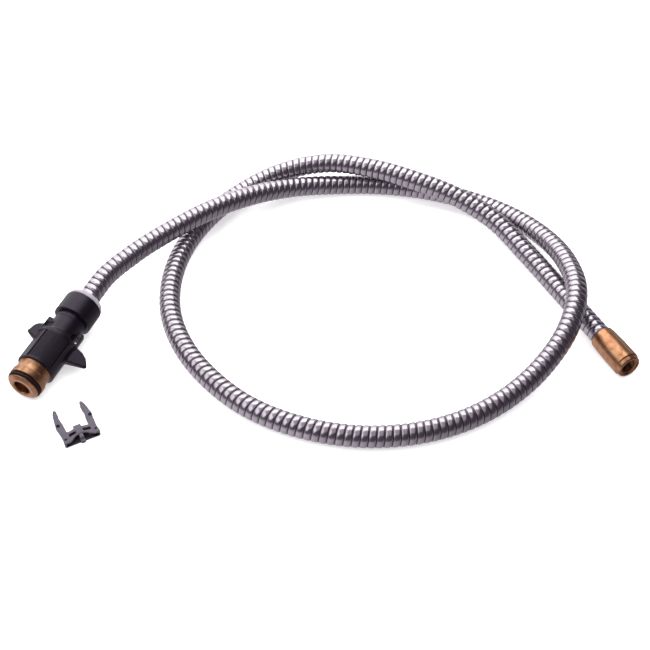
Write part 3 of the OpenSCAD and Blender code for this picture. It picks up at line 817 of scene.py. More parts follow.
@dataclass
class WoundHose:
    """The strip-wound cover and the liner in it, swept along one smooth centreline."""

    route: tuple[Point, ...] = (
        (-166.7, 55.1, 19.1), (-159, 71.8, 20.7), (-138.5, 98.6, 23), (-113, 123.5, 23.9), (-86, 146.5, 23.4),
        (-57.5, 168.5, 18.5), (-27, 185.6, 12.2), (6.5, 194, 8), (42, 194.5, 7.5), (77.5, 188.5, 7.5),
        (110, 175.5, 8.3), (138.7, 154.4, 11), (160, 126, 15.8), (172.5, 91.6, 22), (174.5, 56.2, 25.3),
        (164, 24.2, 20.8), (143, -4, 12.6), (116.5, -27.5, 8.2), (86, -45.5, 7.5), (52, -55.5, 7.5),
        (16.5, -56.5, 7.5), (-18, -48.5, 7.5), (-50, -32.5, 7.5), (-76.5, -8.5, 7.5), (-97, 21, 7.5),
        (-109, 54, 7.5), (-111, 89, 7.5), (-104, 124, 7.5), (-88.5, 156.5, 7.6), (-65, 183, 10),
        (-34.5, 200.3, 15.6), (-0.5, 204, 21.6), (34.5, 195.2, 24.1), (67.5, 181, 23.8), (99, 165, 20.6),
        (126.7, 143.4, 15.3), (146.5, 114.5, 10.9), (164.5, 83.5, 8), (182.5, 45.5, 9.4), (190.5, 29.5, 9.4))
    diameter: float = 15.0
    turn_pitch: float = 5.05
    sides: int = 30
    groove_from: float = 7.40
    groove_deep: float = 0.54
    bore_r: float = 6.55
    bore_step: float = 5.0
    cover_in: float = 6.05
    cover_tuck: float = 3.0
    liner_r: float = 6.15
    liner_bore_r: float = 4.35
    liner_in: float = 19.05
    liner_out: float = 13.25
    liner_sides: int = 20
    liner_rings: int = 150
    span_steps: int = 8
    path_points: int = 340
    # Where each point of the strip's cross-section lies in a turn, and its radius
    strip: tuple[tuple[float, float], ...] = (
        (0.00, 6.86), (0.09, 6.92), (0.15, 7.26), (0.27, 7.43), (0.44, 7.50), (0.62, 7.48), (0.79, 7.36),
        (0.91, 7.16))

    def __post_init__(self) -> None:
        """Works out the curve's directions and its length."""
        self.at = np.array(self.route, float)
        self.chords = np.linalg.norm(np.diff(self.at, axis=0), axis=1)
        last = len(self.at) - 1
        ways = []
        for i in range(last + 1):
            if i < 2:
                way = self.at[1] - self.at[0]
            elif i > last - 2:
                way = self.at[last] - self.at[last - 1]
            else:
                back, on = self.chords[i - 1], self.chords[i]
                way = (self.at[i] - self.at[i - 1]) / back * on + (self.at[i + 1] - self.at[i]) / on * back
            ways.append(way / np.linalg.norm(way))
        self.ways = np.array(ways)
        fine = np.arange(last * self.span_steps + 1) / self.span_steps
        steps = np.linalg.norm(np.diff(self.on_route(fine), axis=0), axis=1)
        self.fine, self.run = fine, np.concatenate([[0.0], np.cumsum(steps)])
        self.free_length = float(self.run[-1])

    def on_route(self, u: Array) -> Array:
        """Points of the curve.

        Args:
            u: How far along the curve, counted in route points.

        Returns:
            The points, in mm.
        """
        i = np.clip(np.floor(u).astype(int), 0, len(self.at) - 2)
        t = (u - i)[:, None]
        c = self.chords[i][:, None]
        return (
            self.at[i] * (2 * t**3 - 3 * t**2 + 1) + self.ways[i] * c * (t**3 - 2 * t**2 + t)
            + self.at[i + 1] * (3 * t**2 - 2 * t**3) + self.ways[i + 1] * c * (t**3 - t**2))

    def centre(self, s: Array) -> Array:
        """Points of the centreline, which runs on straight at both ends.

        Args:
            s: Lengths from the coupling, in mm.

        Returns:
            The points, in mm.
        """
        inner = self.on_route(np.interp(s, self.run, self.fine))
        before = np.minimum(s, 0)[:, None] * self.ways[0]
        after = np.maximum(s - self.free_length, 0)[:, None] * self.ways[-1]
        return inner + before + after

    def rings(self, s: Array, angle: Array, radius: Array) -> Array:
        """Points round the centreline.

        Args:
            s: Length of each point along the hose.
            angle: Its angle round the hose, in radians.
            radius: Its distance from the centreline.

        Returns:
            The points, in the row frame's millimetres.
        """
        way = self.centre(s + 0.5) - self.centre(s - 0.5)
        way /= np.linalg.norm(way, axis=1)[:, None]
        side = np.cross(way, (0.0, 0.0, 1.0))
        side /= np.linalg.norm(side, axis=1)[:, None]
        up = np.cross(side, way)
        out = np.cos(angle)[:, None] * side + np.sin(angle)[:, None] * up
        return self.centre(s) + radius[:, None] * out

    def cover_shape(self) -> Shape:
        """The wound strip: one helical skin outside, a smooth bore inside, closed at both ends.

        Returns:
            Its mesh, with the groove's depth from 0 to 1 at each point.
        """
        start, end = -self.cover_in, self.free_length + self.cover_tuck
        turns = round((end - start) / self.turn_pitch)
        pitch = (end - start) / turns
        m, k = self.sides, len(self.strip)
        n = m * (turns - 1)
        shares = np.array([v for v, _ in self.strip])
        radii = np.array([r for _, r in self.strip])
        i = np.arange(n + 1)
        s = (start + pitch * (i[:, None] / m + shares)).ravel()
        angle = np.repeat(i * 2 * math.pi / m, k)
        radius = np.tile(radii, n + 1)
        extra = np.arange(n + 1, n + m + 1)
        s = np.concatenate([s, start + pitch * extra / m])
        angle = np.concatenate([angle, extra * 2 * math.pi / m])
        radius = np.concatenate([radius, np.full(m, radii[0])])

        def ident(row: int, column: int) -> int:
            """Number of a point of the strip.

            Args:
                row: Its step round the helix.
                column: Its place across the strip.

            Returns:
                The number.
            """
            if column == k:
                row, column = row + m, 0
            return row * k + column if row <= n else (n + 1) * k + row - n - 1

        faces = [[ident(r, c), ident(r, c + 1), ident(r + 1, c + 1), ident(r + 1, c)]
                 for r in range(n) for c in range(k)]
        # The points of the flat end faces and of the bore follow those of the strip
        first = len(s)
        ring = np.arange(m) * 2 * math.pi / m
        bore_rows = np.linspace(start, end, round((end - start) / self.bore_step))
        s = np.concatenate([s, np.full(m - 1, start), np.full(m - 1, end), np.repeat(bore_rows, m)])
        angle = np.concatenate([angle, ring[1:], ring[1:], np.tile(ring, len(bore_rows))])
        radius = np.concatenate([
            radius, np.full(2 * (m - 1), radii[0]), np.full(m * len(bore_rows), self.bore_r)])
        # Each end has a wedge from its flat rim to the helix's edge, and the strip's own cut end
        head = [ident(0, 0)] + [first + j for j in range(m - 1)] + [ident(0, 0)]
        tail = [ident(n + m, 0)] + [first + m - 1 + j for j in range(m - 1)] + [ident(n + m, 0)]
        for j in range(m):
            a = [head[j], ident(j, 0), ident(j + 1, 0), head[j + 1]]
            b = [ident(n + j, 0), tail[j], tail[j + 1], ident(n + j + 1, 0)]
            for quad in (a, b):
                faces.append(list(dict.fromkeys(quad)))
        faces.append([head[0]] + [ident(m, 0)] + [ident(0, c) for c in range(k - 1, 0, -1)])
        faces.append([ident(n, c) for c in range(k)] + [tail[0]])
        bore = first + 2 * (m - 1)
        faces += ring_quads(len(bore_rows), m, bore, inward=True)
        last_bore = bore + (len(bore_rows) - 1) * m
        # Flat rings close the ends between the rim and the bore
        for j in range(m):
            q = (j + 1) % m
            faces.append([head[j], head[j + 1], bore + q, bore + j])
            faces.append([tail[j + 1], tail[j], last_bore + j, last_bore + q])
        depth = np.clip((self.groove_from - radius) / self.groove_deep, 0, 1)
        return Shape(self.rings(s, angle, radius), faces, numbers={"groove": depth})

    def liner_shape(self) -> Shape:
        """The smooth liner, from the stem's ferrule to the nipple's shoulder.

        Returns:
            Its mesh.
        """
        m, count = self.liner_sides, self.liner_rings
        rows = np.linspace(-self.liner_in, self.free_length + self.liner_out, count)
        s, angle = np.repeat(rows, m), np.tile(np.arange(m) * 2 * math.pi / m, count)
        outer = self.rings(s, angle, np.full(len(s), self.liner_r))
        inner = self.rings(s, angle, np.full(len(s), self.liner_bore_r))
        n, top = len(s), (count - 1) * m
        faces = ring_quads(count, m) + ring_quads(count, m, n, inward=True)
        for j in range(m):
            q = (j + 1) % m
            faces.append([j, q, n + q, n + j])
            faces.append([top + q, top + j, n + top + j, n + top + q])
        return Shape(np.concatenate([outer, inner]), faces)

    def build(self) -> bpy.types.Object:
        """Makes the cover and the liner.

        Returns:
            The cover.
        """
        here = Placement()
        cover = self.cover_shape().piece(
            "wound_cover", here, STRIP, Body.HOSE, Slot.WOUND_STRIP, ["hose_cover"])
        self.liner = self.liner_shape().piece(
            "inner_liner", here, LINER, Body.HOSE, Slot.LINER, ["hose_liner"])
        return cover

    def declare(self) -> None:
        steps = np.linspace(0, self.free_length, self.path_points)
        path = self.centre(steps) * MM


# ---- Coupling --------------------------------------------------------------------------

RING_END = 80.5  # station of the guide ring's end, where the hose comes out


@dataclass
class Housing:
    """The black winged housing: lower cylinder with wings, sloped shoulder, neck with clip lugs."""

    place: Placement
    foot: float = 14.5
    lower_r: float = 13.5
    shoulder_from: float = 42.0
    shoulder_to: float = 45.0
    neck_r: float = 10.9
    collar_from: float = 60.45
    thread_r: float = 11.1
    top: float = 69.0
    wing_half: float = 2.7
    tip_half: float = 1.25
    wing_edge: float = 1.0
    wing_root: float = 13.4
    long_reach: float = 27.5
    long_from: float = 30.0
    long_rise: float = 4.0
    short_reach: float = 20.8
    short_from: float = 34.3
    short_rise: float = 3.0
    slot_from: float = 44.4
    slot_to: float = 49.4
    slot_in: float = 7.35
    slot_out: float = 12.85
    lug_reach: float = 14.15
    lug_half: float = 4.0
    lug_from: float = 40.4
    lug_to: float = 53.5
    flat_depth: float = 0.7
    flat_turn: float = 31.0
    flat_mid: float = 27.65
    flat_half: float = 12.2
    line_turns: tuple[float, ...] = (124.0, 236.0, 42.0, 318.0)
    line_half: float = 0.7
    line_from: float = 15.7
    line_to: float = 39.6
    grip_turn: float = 83.0
    grip_half_turn: float = 40.0
    grip_mid: float = 28.0
    grip_half: float = 12.0
    rib_count: int = 66
    rib_depth: float = 0.16
    socket_r: float = 10.85
    socket_to: float = 34.05
    passage_r: float = 6.0
    stem_r: float = 9.05
    stem_from: float = 35.95
    low: Point = (-22.5, -15.5, 13.4)
    high: Point = (29.0, 15.5, 70.2)
    cell: float = 0.42

    def wing(self, x: Array, y: Array, z: Array, reach: float, low: float, rise: float) -> Array:
        """Distance to one wing on the +x side.

        Args:
            x: Distances from the axis towards the wing.
            y: Distances across the wing.
            z: Stations.
            reach: How far the tip is from the axis.
            low: Station of the wing's lower root.
            rise: How much the tip is above it.

        Returns:
            The signed distances.
        """
        inner, tip, top = self.neck_r - 1.5, low + rise, low + self.wing_root
        # The upper edge leans from the tip to the root and is bowed outwards
        bow, lean = 1.7, []
        for share in (0.12, 0.36, 0.64, 0.9):
            crown = bow * math.sin(math.pi * share)
            lean.append((
                reach - 0.75 + share * (self.lower_r - reach + 0.75) + crown,
                tip + 1.5 + share * (top - tip - 1.5) + crown, 2.5))
        corners = rounded([
            (inner, low), (self.lower_r + 0.5, low + 0.05, 1.5), (reach - 1.3, tip - 0.8, 1.5),
            (reach, tip + 0.4, 0.9), *lean, (self.lower_r - 0.6, top + 0.5, 1.0), (inner, top + 0.6)], 4)
        share = np.clip((x - self.lower_r) / (reach - self.lower_r), 0, 1)
        half = self.wing_half + share * (self.tip_half - self.wing_half)
        return Solids.thick(Solids.outline(x, z, corners), np.abs(y) - half, self.wing_edge)

    def gripped(self, x: Array, y: Array, z: Array) -> Array:
        """Where the gripping faces are, each between two lines on its side of the wings.

        Args:
            x: Distances from the axis towards the long wing.
            y: Distances from the axis across the wings.
            z: Stations.

        Returns:
            1 on the faces, 0 elsewhere.
        """
        turn = np.abs(np.degrees(np.arctan2(y, x)))
        across = np.clip((self.grip_half_turn - np.abs(turn - self.grip_turn)) / 3, 0, 1)
        return across * np.clip(self.grip_half - np.abs(z - self.grip_mid), 0, 1)

    def grip(self, x: Array, y: Array, z: Array) -> Array:
        """How far the fine ribs between the two lines stand back from the cylinder."""
        wave = 0.5 - 0.5 * np.cos(np.arctan2(y, x) * self.rib_count)
        return self.rib_depth * self.gripped(x, y, z) * wave

    def depth(self, x: Array, y: Array, z: Array) -> Array:
        """Signed distance of the whole housing.

        Args:
            x: Distances from the axis towards the long wing.
            y: Distances from the axis across the wings.
            z: Stations.

        Returns:
            The signed distances.
        """
        r = np.sqrt(x * x + y * y)
        edge = 0.5
        skin, top = self.lower_r - edge, self.shoulder_to - 0.3
        inset = [(0.0, self.foot + edge), (skin, self.foot + edge), (skin, self.shoulder_from - 0.15),
                 (self.neck_r - edge, top), (0.0, top)]
        lower = Solids.outline(r, z, inset) - edge + self.grip(x, y, z)
        for side in (-1, 1):
            turn = math.radians(180 + side * self.flat_turn)
            flat = x * math.cos(turn) + y * math.sin(turn) - (self.lower_r - self.flat_depth)
            span = np.abs(z - self.flat_mid) - self.flat_half
            lower = Solids.cut(lower, np.maximum(-flat, span), 0.3)
        for turn in map(math.radians, self.line_turns):
            along = x * math.cos(turn) + y * math.sin(turn)
            across = -x * math.sin(turn) + y * math.cos(turn)
            line = Solids.block(
                along, across, z, (self.lower_r - 1.0, -self.line_half, self.line_from),
                (self.lower_r + 3, self.line_half, self.line_to), 0.2)
            lower = Solids.cut(lower, line, 0.3)
        neck = Solids.rod(x, y, z, self.neck_r, self.shoulder_from, self.collar_from, 0.2)
        thread = Solids.rod(x, y, z, self.thread_r, self.collar_from - 4, self.top, 0.4)
        body = np.minimum(Solids.joined(lower, neck, 0.5), thread)
        lugs = Solids.block(
            np.abs(x), y, z, (6.0, -self.lug_half, self.lug_from), (20.0, self.lug_half, self.lug_to), 0.5)
        lugs = Solids.cut(lugs, self.lug_reach - r, 0.5)
        body = Solids.joined(body, lugs, 0.5)
        long_wing = self.wing(x, y, z, self.long_reach, self.long_from, self.long_rise)
        short_wing = self.wing(-x, y, z, self.short_reach, self.short_from, self.short_rise)
        body = Solids.joined(Solids.joined(body, long_wing, 1.0), short_wing, 1.0)
        slots = Solids.block(
            np.abs(x), y, z, (self.slot_in, -30.0, self.slot_from), (self.slot_out, 30.0, self.slot_to), 0.3)
        body = Solids.cut(body, slots, 0.3)
        overlap = 1.05
        socket = Solids.rod(x, y, z, self.socket_r, self.foot - 2, self.socket_to)
        passage = Solids.rod(x, y, z, self.passage_r, self.socket_to - overlap, self.stem_from + overlap)
        stem = Solids.rod(x, y, z, self.stem_r, self.stem_from, self.top + 2)
        return np.maximum(body, -np.minimum(np.minimum(socket, passage), stem))

    def build(self) -> None:
        """Makes the housing."""
        shape = surface_net(self.depth, self.low, self.high, self.cell)
        shape.numbers["dull"] = self.gripped(*shape.points.T)
        shape.piece("housing", self.place, BLACK, Body.COUPLING, Slot.BLACK, ["coupling_body"])


@dataclass
class ValveSpring:
    """The check valve's coil, at its rest length; the real coil shortens towards the cage's far end as the
    valve opens.
    """

    place: Placement
    turns: int = 6
    steps: int = 24
    sides: int = 8
    coil_r: float = 3.0
    wire_r: float = 0.3
    low: float = 14.05
    high: float = 20.25
    travel: float = 2.5

    def shape(self) -> Shape:
        """The wound wire, closed at both ends.

        Returns:
            Its mesh.
        """
        rows, sides = self.turns * self.steps + 1, self.sides
        angle = np.repeat(np.arange(rows) * 2 * math.pi / self.steps, sides)
        rise = np.repeat(np.linspace(self.low, self.high, rows), sides)
        wire = np.tile(np.arange(sides) * 2 * math.pi / sides, rows)
        r = self.coil_r + self.wire_r * np.cos(wire)
        points = np.stack([r * np.cos(angle), r * np.sin(angle), rise + self.wire_r * np.sin(wire)], axis=1)
        ends = [list(range(sides)), [rows * sides - 1 - j for j in range(sides)]]
        return Shape(points, ring_quads(rows, sides) + ends)

    def build(self) -> None:
        """Makes the coil, with a mesh of its own."""
        made = self.shape().piece(
            "valve_coil", self.place, STEEL, Body.COUPLING, Slot.SPRING, ["valve_spring"])
        matrix = np.array(self.place.matrix())
        length = self.high - self.low + 2 * self.wire_r
        anchor = (matrix[:3, 2] * (self.high + self.wire_r) + matrix[:3, 3]) * MM
        1 - self.travel / length
        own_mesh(made)


@dataclass
class Coupling:
    """The quick coupling: housing, collar, guide ring, brass plug and its O-ring.

    Stations run up its axis, from the plug's tip at -2.2 to the guide ring's end at RING_END.
    """

    place: Placement
    # Outlines of (radius, station, rounding)
    collar_skin: tuple[Corner, ...] = (
        (11.15, 60.5), (13.25, 60.5, 0.2), (13.65, 60.9, 0.3), (13.65, 76.5, 1.6), (11.15, 76.5, 0.2))
    guide_skin: tuple[Corner, ...] = (
        (8.1, 70.0), (11.05, 70.0, 0.2), (11.05, 76.55), (13.1, 76.55, 0.2), (13.15, 77.6, 0.8),
        (11.6, RING_END, 1.2), (8.1, RING_END, 0.5))
    plug_skin: tuple[Corner, ...] = (
        (6.5, -2.2, 0.15), (8.8, -2.2, 0.5), (11.25, -0.65, 0.25), (11.3, -0.2, 0.1), (9.45, -0.2, 0.2),
        (9.45, 3.0, 0.2), (12.15, 3.0, 0.1), (12.45, 3.3, 0.2), (12.45, 7.2, 0.4), (12.1, 7.75, 0.8),
        (11.7, 8.8, 1.6), (11.62, 11.0, 6.0), (11.75, 13.3, 1.6), (12.0, 14.4, 0.1), (10.8, 14.5),
        (10.8, 24.25), (8.85, 24.25), (8.85, 26.65), (10.8, 26.65), (10.8, 34.0, 0.3), (7.55, 34.0, 0.2),
        (7.55, 23.75), (8.15, 23.75), (8.15, 22.7), (7.55, 22.7), (7.55, 9.0), (5.8, 9.0), (5.8, -1.4, 0.2))
    ring_r: float = 10.78
    ring_station: float = 1.4
    ring_cord_r: float = 1.42
    ring_chords: int = 24
    segments: int = 128
    guide_segments: int = 96

    def collar(self) -> None:
        """Makes the smooth collar screwed over the neck."""
        turned(rounded(self.collar_skin, 5), self.segments).piece(
            "collar", self.place, BLACK, Body.COUPLING, Slot.BLACK, ["coupling_collar"])

    def guide(self) -> None:
        """Makes the pale ring that guides the hose into the collar."""
        turned(rounded(self.guide_skin), self.guide_segments).piece(
            "guide_ring_pale", self.place, RING_GREY, Body.HOSE, Slot.GREY, ["guide_ring"])

    def plug(self) -> None:
        """Makes the brass plug: coned nose, O-ring groove, land, waisted neck and inlet bore."""
        turned(rounded(self.plug_skin), self.segments).piece(
            "plug", self.place, BRASS, Body.COUPLING, Slot.BRASS, ["spigot"])

    def o_ring(self) -> None:
        """Makes the O-ring behind the plug's nose."""
        cord = self.ring_cord_r
        circle = [(self.ring_r + cord * math.cos(a), self.ring_station + cord * math.sin(a))
                  for a in np.arange(self.ring_chords) * (2 * math.pi / self.ring_chords)]
        turned(circle, self.segments).piece(
            "plug_o_ring", self.place, RUBBER, Body.COUPLING, Slot.RUBBER, ["spigot_o_ring"])

    def build(self) -> None:
        """Makes every piece of the coupling and dresses the nodes that keep their solids."""
        Housing(self.place).build()
        self.collar()
        self.guide()
        self.plug()
        self.o_ring()
        ValveSpring(self.place).build()
        for node, finish, slot in (
                ("spigot_seal", RUBBER, Slot.RUBBER), ("valve_cage", WHITE, Slot.WHITE),
                ("valve_poppet", WHITE, Slot.WHITE), ("valve_seal", RUBBER, Slot.RUBBER),
                # The hose stem's near-black brass is painted shade seen through the slots
                ("valve_ring", STEEL, Slot.SPRING), ("hose_stem", BRASS_PAINTED_SHADE, Slot.BRASS),
                ("stem_o_rings", RUBBER, Slot.RUBBER), ("inlet_ferrule", STEEL, Slot.FERRULE)):
            dress_node(node, finish, self.place)


def dress_node(node: str, finish: Finish, place: Placement) -> bpy.types.Object:
    """Gives a CAD node that keeps its solid a better material.

    Args:
        node: The node's name.
        finish: Its finish.
        place: The place that gives the finish its axis.

    Returns:
        The node's object.
    """
    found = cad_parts[node]
    found.data.materials.clear()
    found.data.materials.append(finish.material(place))
    log.info("%s keeps its solid", node)
    return found


# ---- Outlet ----------------------------------------------------------------------------


@dataclass
class Outlet:
    """The brass sleeve that turns on the nipple, with the thread for the spray head in its end."""

    place: Placement
    thread_from: float = 22.6
    thread_to: float = 30.9
    thread_rows: int = 58
    thread_pitch: float = 1.337
    lead_in: float = 0.8
    minor_r: float = 5.72
    major_r: float = 6.5
    mouth_from: float = 30.4
    mouth_slope: float = 1.8
    # Outlines of (radius, station, rounding): the outside, then what lies behind the thread
    skin: tuple[Corner, ...] = (
        (8.15, 0.0, 0.1), (8.5, 0.0, 0.15), (8.7, 0.2, 0.4), (9.0, 5.0, 14.0), (9.4, 15.0, 14.0),
        (9.4, 28.2, 0.5), (8.75, 28.9, 0.25), (8.45, 31.2, 0.5), (7.9, 31.8, 0.3), (6.62, 31.8, 0.1))
    bore: tuple[tuple[float, float], ...] = (
        (6.7, 22.6), (6.7, 18.4), (4.95, 18.4), (4.95, 15.4), (8.15, 15.4))
    segments: int = 96

    def thread_radius(self, z: float, angle: Array) -> Array:
        """The thread's radius, which fades in at its root end and opens out at the mouth.

        Args:
            z: The station.
            angle: Angles round the axis, in radians.

        Returns:
            The radius at each angle.
        """
        turn = (z - self.thread_from) / self.thread_pitch - angle / (2 * math.pi)
        wave = np.abs((turn % 1.0) * 2 - 1)
        ridge = np.clip(wave * 1.5 - 0.25, 0, 1) * min(1.0, (z - self.thread_from) / self.lead_in)
        mouth = self.minor_r + max(0.0, z - self.mouth_from) * self.mouth_slope
        return np.maximum(self.minor_r + (self.major_r - self.minor_r) * ridge, mouth)

    def sleeve_shape(self) -> Shape:
        """The sleeve's turned skin, with a helical thread as part of it.

        Returns:
            Its mesh.
        """
        outer = rounded(self.skin, 5)[:-1]
        a = np.arange(self.segments) * (2 * math.pi / self.segments)
        thread = [(self.thread_radius(z, a), z)
                  for z in np.linspace(self.thread_to, self.thread_from, self.thread_rows)]
        columns = [
            np.stack([r * np.cos(a), r * np.sin(a), np.full(len(a), z)], axis=1)
            for r, z in [*outer, *thread, *self.bore]]
        points = np.stack(columns, axis=1).reshape(-1, 3)
        return Shape(points, ring_quads(self.segments, len(columns), looped=True))

    def build(self) -> list[bpy.types.Object]:
        """Makes the sleeve and dresses what lies in it.

        Returns:
            The pieces at the hose's outlet end.
        """
        sleeve = self.sleeve_shape().piece(
            "sleeve", self.place, BRASS, Body.OUTLET, Slot.BRASS, ["outlet_sleeve"])
        return [
            sleeve, dress_node("outlet_nipple", BRASS, self.place),
            dress_node("outlet_ferrule", STEEL, self.place),
            dress_node("outlet_washer", RUBBER, self.place)]


# ---- Clip ------------------------------------------------------------------------------


@dataclass
class LockingClip:
    """The loose U-shaped clip: two prongs on a bowed base over a straight foot."""

    place: Placement
    thick: float = 4.5
    edge: float = 0.45
    # The right half's outline of (x, y, rounding), with the base along y = 0 and the prongs towards +y
    half: tuple[Corner, ...] = (
        (-3.0, 4.4), (0.0, 4.4), (3.4, 3.5, 3.0), (6.1, 1.5, 3.0), (8.5, 0.1, 2.0), (11.6, 0.0, 1.0),
        (12.2, 0.9, 0.8), (11.6, 6.0, 5.0), (12.0, 12.8, 5.0), (12.6, 17.3, 3.0), (12.0, 21.8, 4.0),
        (11.2, 27.2, 5.0), (10.2, 29.6, 0.8), (9.3, 30.4, 0.6), (8.4, 30.0, 0.6), (8.0, 28.8, 1.0),
        (8.05, 24.6, 3.0), (8.5, 22.0, 3.0), (7.8, 17.3, 4.0), (7.6, 9.8, 0.8), (7.0, 9.0, 0.6),
        (5.2, 9.4, 0.8), (2.6, 10.1, 0.6), (2.6, 12.2, 0.5), (-3.0, 12.2))
    slot: tuple[tuple[float, float], ...] = ((2.5, 5.5), (7.3, 4.3), (7.3, 6.5), (2.5, 7.4))
    # Lowest and highest corners of the blocks that are added or cut out
    foot: tuple[Point, Point] = ((-11.6, 0.05, 0.0), (11.6, 6.0, 0.9))
    nub: tuple[Point, Point] = ((-1.5, -1.2, 0.0), (1.5, 5.0, 2.4))
    post: tuple[Point, Point] = ((-1.3, 0.9, 0.5), (1.3, 6.0, 4.2))
    recess: tuple[Point, Point] = ((1.0, -2.0, 0.85), (11.0, 4.6, 3.25))
    notch: tuple[Point, Point] = ((9.4, 2.6, 3.5), (11.1, 4.1, 6.0))
    dimple_at: tuple[float, float] = (11.0, 16.4)
    dimple_r: float = 1.15
    low: Point = (-13.6, -2.2, -0.6)
    high: Point = (13.6, 31.0, 5.2)
    cell: float = 0.26

    def pockets(self, x: Array, y: Array, z: Array) -> tuple[Array, Array]:
        """The recess between the top plate and the foot, and the slots through the base.

        Args:
            x: Distances across, from the middle.
            y: Distances along the prongs.
            z: Heights.

        Returns:
            The signed distances to the recess and to the slots.
        """
        side = np.abs(x)
        recess = Solids.block(side, y, z, *self.recess, 0.3)
        return recess, Solids.thick(Solids.outline(side, y, self.slot), np.abs(z - self.thick / 2) - 6.0, 0.3)

    def depth(self, x: Array, y: Array, z: Array) -> Array:
        """Signed distance of the clip.

        Args:
            x: Distances across, from the middle.
            y: Distances along the prongs.
            z: Heights.

        Returns:
            The signed distances.
        """
        side, mid = np.abs(x), self.thick / 2
        flat = Solids.outline(side, y, rounded(self.half))
        recess, slot = self.pockets(x, y, z)
        body = Solids.thick(flat, np.abs(z - mid) - mid, self.edge)
        body = Solids.joined(body, Solids.block(x, y, z, *self.foot, 0.35), 0.4)
        body = Solids.cut(body, recess, 0.3)
        body = Solids.joined(body, Solids.block(x, y, z, *self.post, 0.5), 0.4)
        body = Solids.joined(body, Solids.block(x, y, z, *self.nub, 0.5), 0.6)
        body = Solids.cut(body, slot, 0.4)
        body = Solids.cut(body, Solids.block(side, y, z, *self.notch, 0.4), 0.4)
        over, up = self.dimple_at
        dimple = Solids.rod(side - over, (y - up) * 0.85, z, self.dimple_r, 2.2, 6.0, 0.2)
        return Solids.cut(body, dimple, 0.3)

    def build(self) -> None:
        """Makes the clip."""
        shape = surface_net(self.depth, self.low, self.high, self.cell)
        x, y, z = shape.points.T
        recess, slot = self.pockets(x, y, z)
        # The pockets' walls get painted shade, but not the middle post, the foot's underside and the plate's
        # top
        inside = np.clip((0.25 - np.minimum(recess, slot)) / 0.2, 0, 1) * (np.abs(x) > 1.6)
        shape.numbers["pocket_painted_shade"] = inside * np.clip((4.3 - z) / 0.3, 0, 1) * (z > 0.6)
        shape.piece("clip", self.place, CLIP_GREY, Body.CLIP, Slot.CLIP, ["locking_clip"])


# ---- Studio ----------------------------------------------------------------------------


@dataclass(frozen=True)
class SoftBox:
    """A large area light at a place, facing another; one that isn't mirrored only fills."""

    name: str
    at: Point
    faces: Point
    width: float
    height: float
    radiance: float
    mirrored: bool = True

    def hang(self) -> None:
        """Makes the light."""
        data = bpy.data.lights.new(self.name, "AREA")
        data.shape, data.size, data.size_y = "RECTANGLE", self.width, self.height
        data.energy = self.radiance * math.pi * self.width * self.height
        lamp = aimed(self.name, data, Vector(self.at), Vector(self.at) - Vector(self.faces))
        lamp.visible_glossy = self.mirrored
        lamp.visible_camera = False


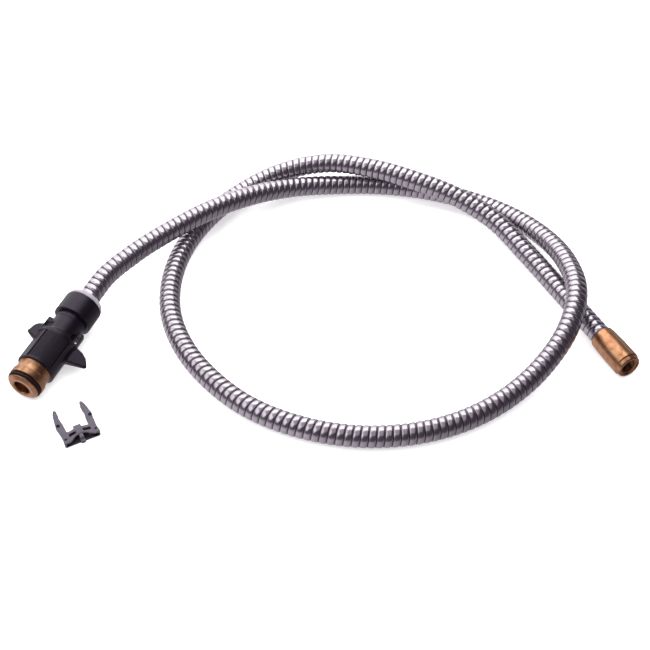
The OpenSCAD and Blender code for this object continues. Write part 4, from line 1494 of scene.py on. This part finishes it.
@dataclass
class Studio:
    """Camera, pale floor, dim plum surroundings that are paler low on the left, and soft boxes."""

    target: Point = (-0.0005, 0.050, 0.0)
    distance: float = 0.900
    elevation: float = 46.0
    lens: float = 70.615
    above_left: Colour = (0.17, 0.145, 0.18)
    above_right: Colour = (0.095, 0.077, 0.10)
    below_left: Colour = (1.00, 0.95, 1.02)
    below_right: Colour = (0.42, 0.39, 0.42)
    # How far along X the left tones turn to the right ones, and along Z the lower to the upper
    turn_across: tuple[float, float] = (-0.80, 0.50)
    turn_up: tuple[float, float] = (-0.25, 0.10)
    floor_half: float = 4.0
    floor_drop: float = 0.0002
    boxes: tuple[SoftBox, ...] = (
        SoftBox("canopy", (-0.02, 0.70, 0.555), (-0.02, 0.70, 0.0), 0.64, 1.0, 2.6),
        SoftBox("canopy_left", (-0.67, 0.82, 0.555), (-0.67, 0.82, 0.0), 0.66, 0.76, 2.3),
        SoftBox("back_wall", (-0.40, 1.25, 0.18), (-0.40, 0.0, 0.18), 1.80, 0.66, 1.6),
        SoftBox("right_wall", (0.85, 1.05, 0.28), (0.0, 0.1, 0.1), 0.75, 0.75, 0.42),
        SoftBox("left_wall", (-1.0, -0.15, 1.02), (0.0, 0.0, 0.45), 1.7, 0.95, 1.5),
        SoftBox("top_box", (-0.2, -0.1, 1.7), (-0.2, 0.0, 0.0), 2.0, 1.9, 0.48),
        SoftBox("fill_box", (0.0, 0.27, 1.58), (0.0, 0.05, 0.0), 2.8, 2.8, 2.0, mirrored=False))

    def camera(self) -> None:
        """Makes the camera above the front of the table."""
        data = bpy.data.cameras.new("camera")
        data.lens, data.sensor_width = self.lens, 36.0
        data.clip_start, data.clip_end = 0.01, 50.0
        rise = math.radians(self.elevation)
        way = Vector((0.0, -math.cos(rise), math.sin(rise)))
        bpy.context.scene.camera = aimed("camera", data, Vector(self.target) + way * self.distance, way)

    def floor(self) -> None:
        """Lays the pale floor."""
        far = self.floor_half
        mesh = bpy.data.meshes.new("floor")
        mesh.from_pydata([(-far, -far, 0), (far, -far, 0), (far, far, 0), (-far, far, 0)], [], [(0, 1, 2, 3)])
        mesh.materials.append(StudioFloor("floor_paper").material(Placement()))
        sweep = new_object("floor", mesh)
        sweep.location.z = -self.floor_drop
        sweep.visible_glossy = False

    def light(self) -> None:
        """Hangs the lights, sets the surroundings by their direction, and sets the plain view."""
        scene = bpy.context.scene
        world = bpy.data.worlds.new("surroundings")
        world.use_nodes = True
        shop = NodeShop(world.node_tree)
        way = shop.node("ShaderNodeSeparateXYZ", {}, shop.node("ShaderNodeTexCoord").output("Generated"))
        across = way.output("X").band(*self.turn_across)
        above = shop.mix(across, self.above_left, self.above_right)
        below = shop.mix(across, self.below_left, self.below_right)
        tone = shop.mix(way.output("Z").band(*self.turn_up), below, above)
        shop.tree.links.new(tone.socket, shop.tree.nodes["Background"].inputs["Color"])
        scene.world = world
        for box in self.boxes:
            box.hang()
        scene.view_settings.view_transform = "Standard"
        scene.view_settings.look = "None"


def main() -> None:
    """Builds the sub-assemblies in order."""
    logging.basicConfig(level=logging.INFO, format="%(name)s %(message)s")
    studio = Studio()
    studio.camera()
    hose = WoundHose()
    cover = hose.build()
    start, end = Vector(hose.ways[0]), Vector(hose.ways[-1])
    Coupling(Placement(hose.route[0], tuple(start), roll=-72.0, station=RING_END)).build()
    fittings = Outlet(Placement(hose.route[-1], tuple(end))).build()
    LockingClip(Placement((-157.0, -55.3, 0.0), roll=27.7)).build()
    hose.declare()
    studio.floor()
    studio.light()


if __name__ == "__main__":
    main()
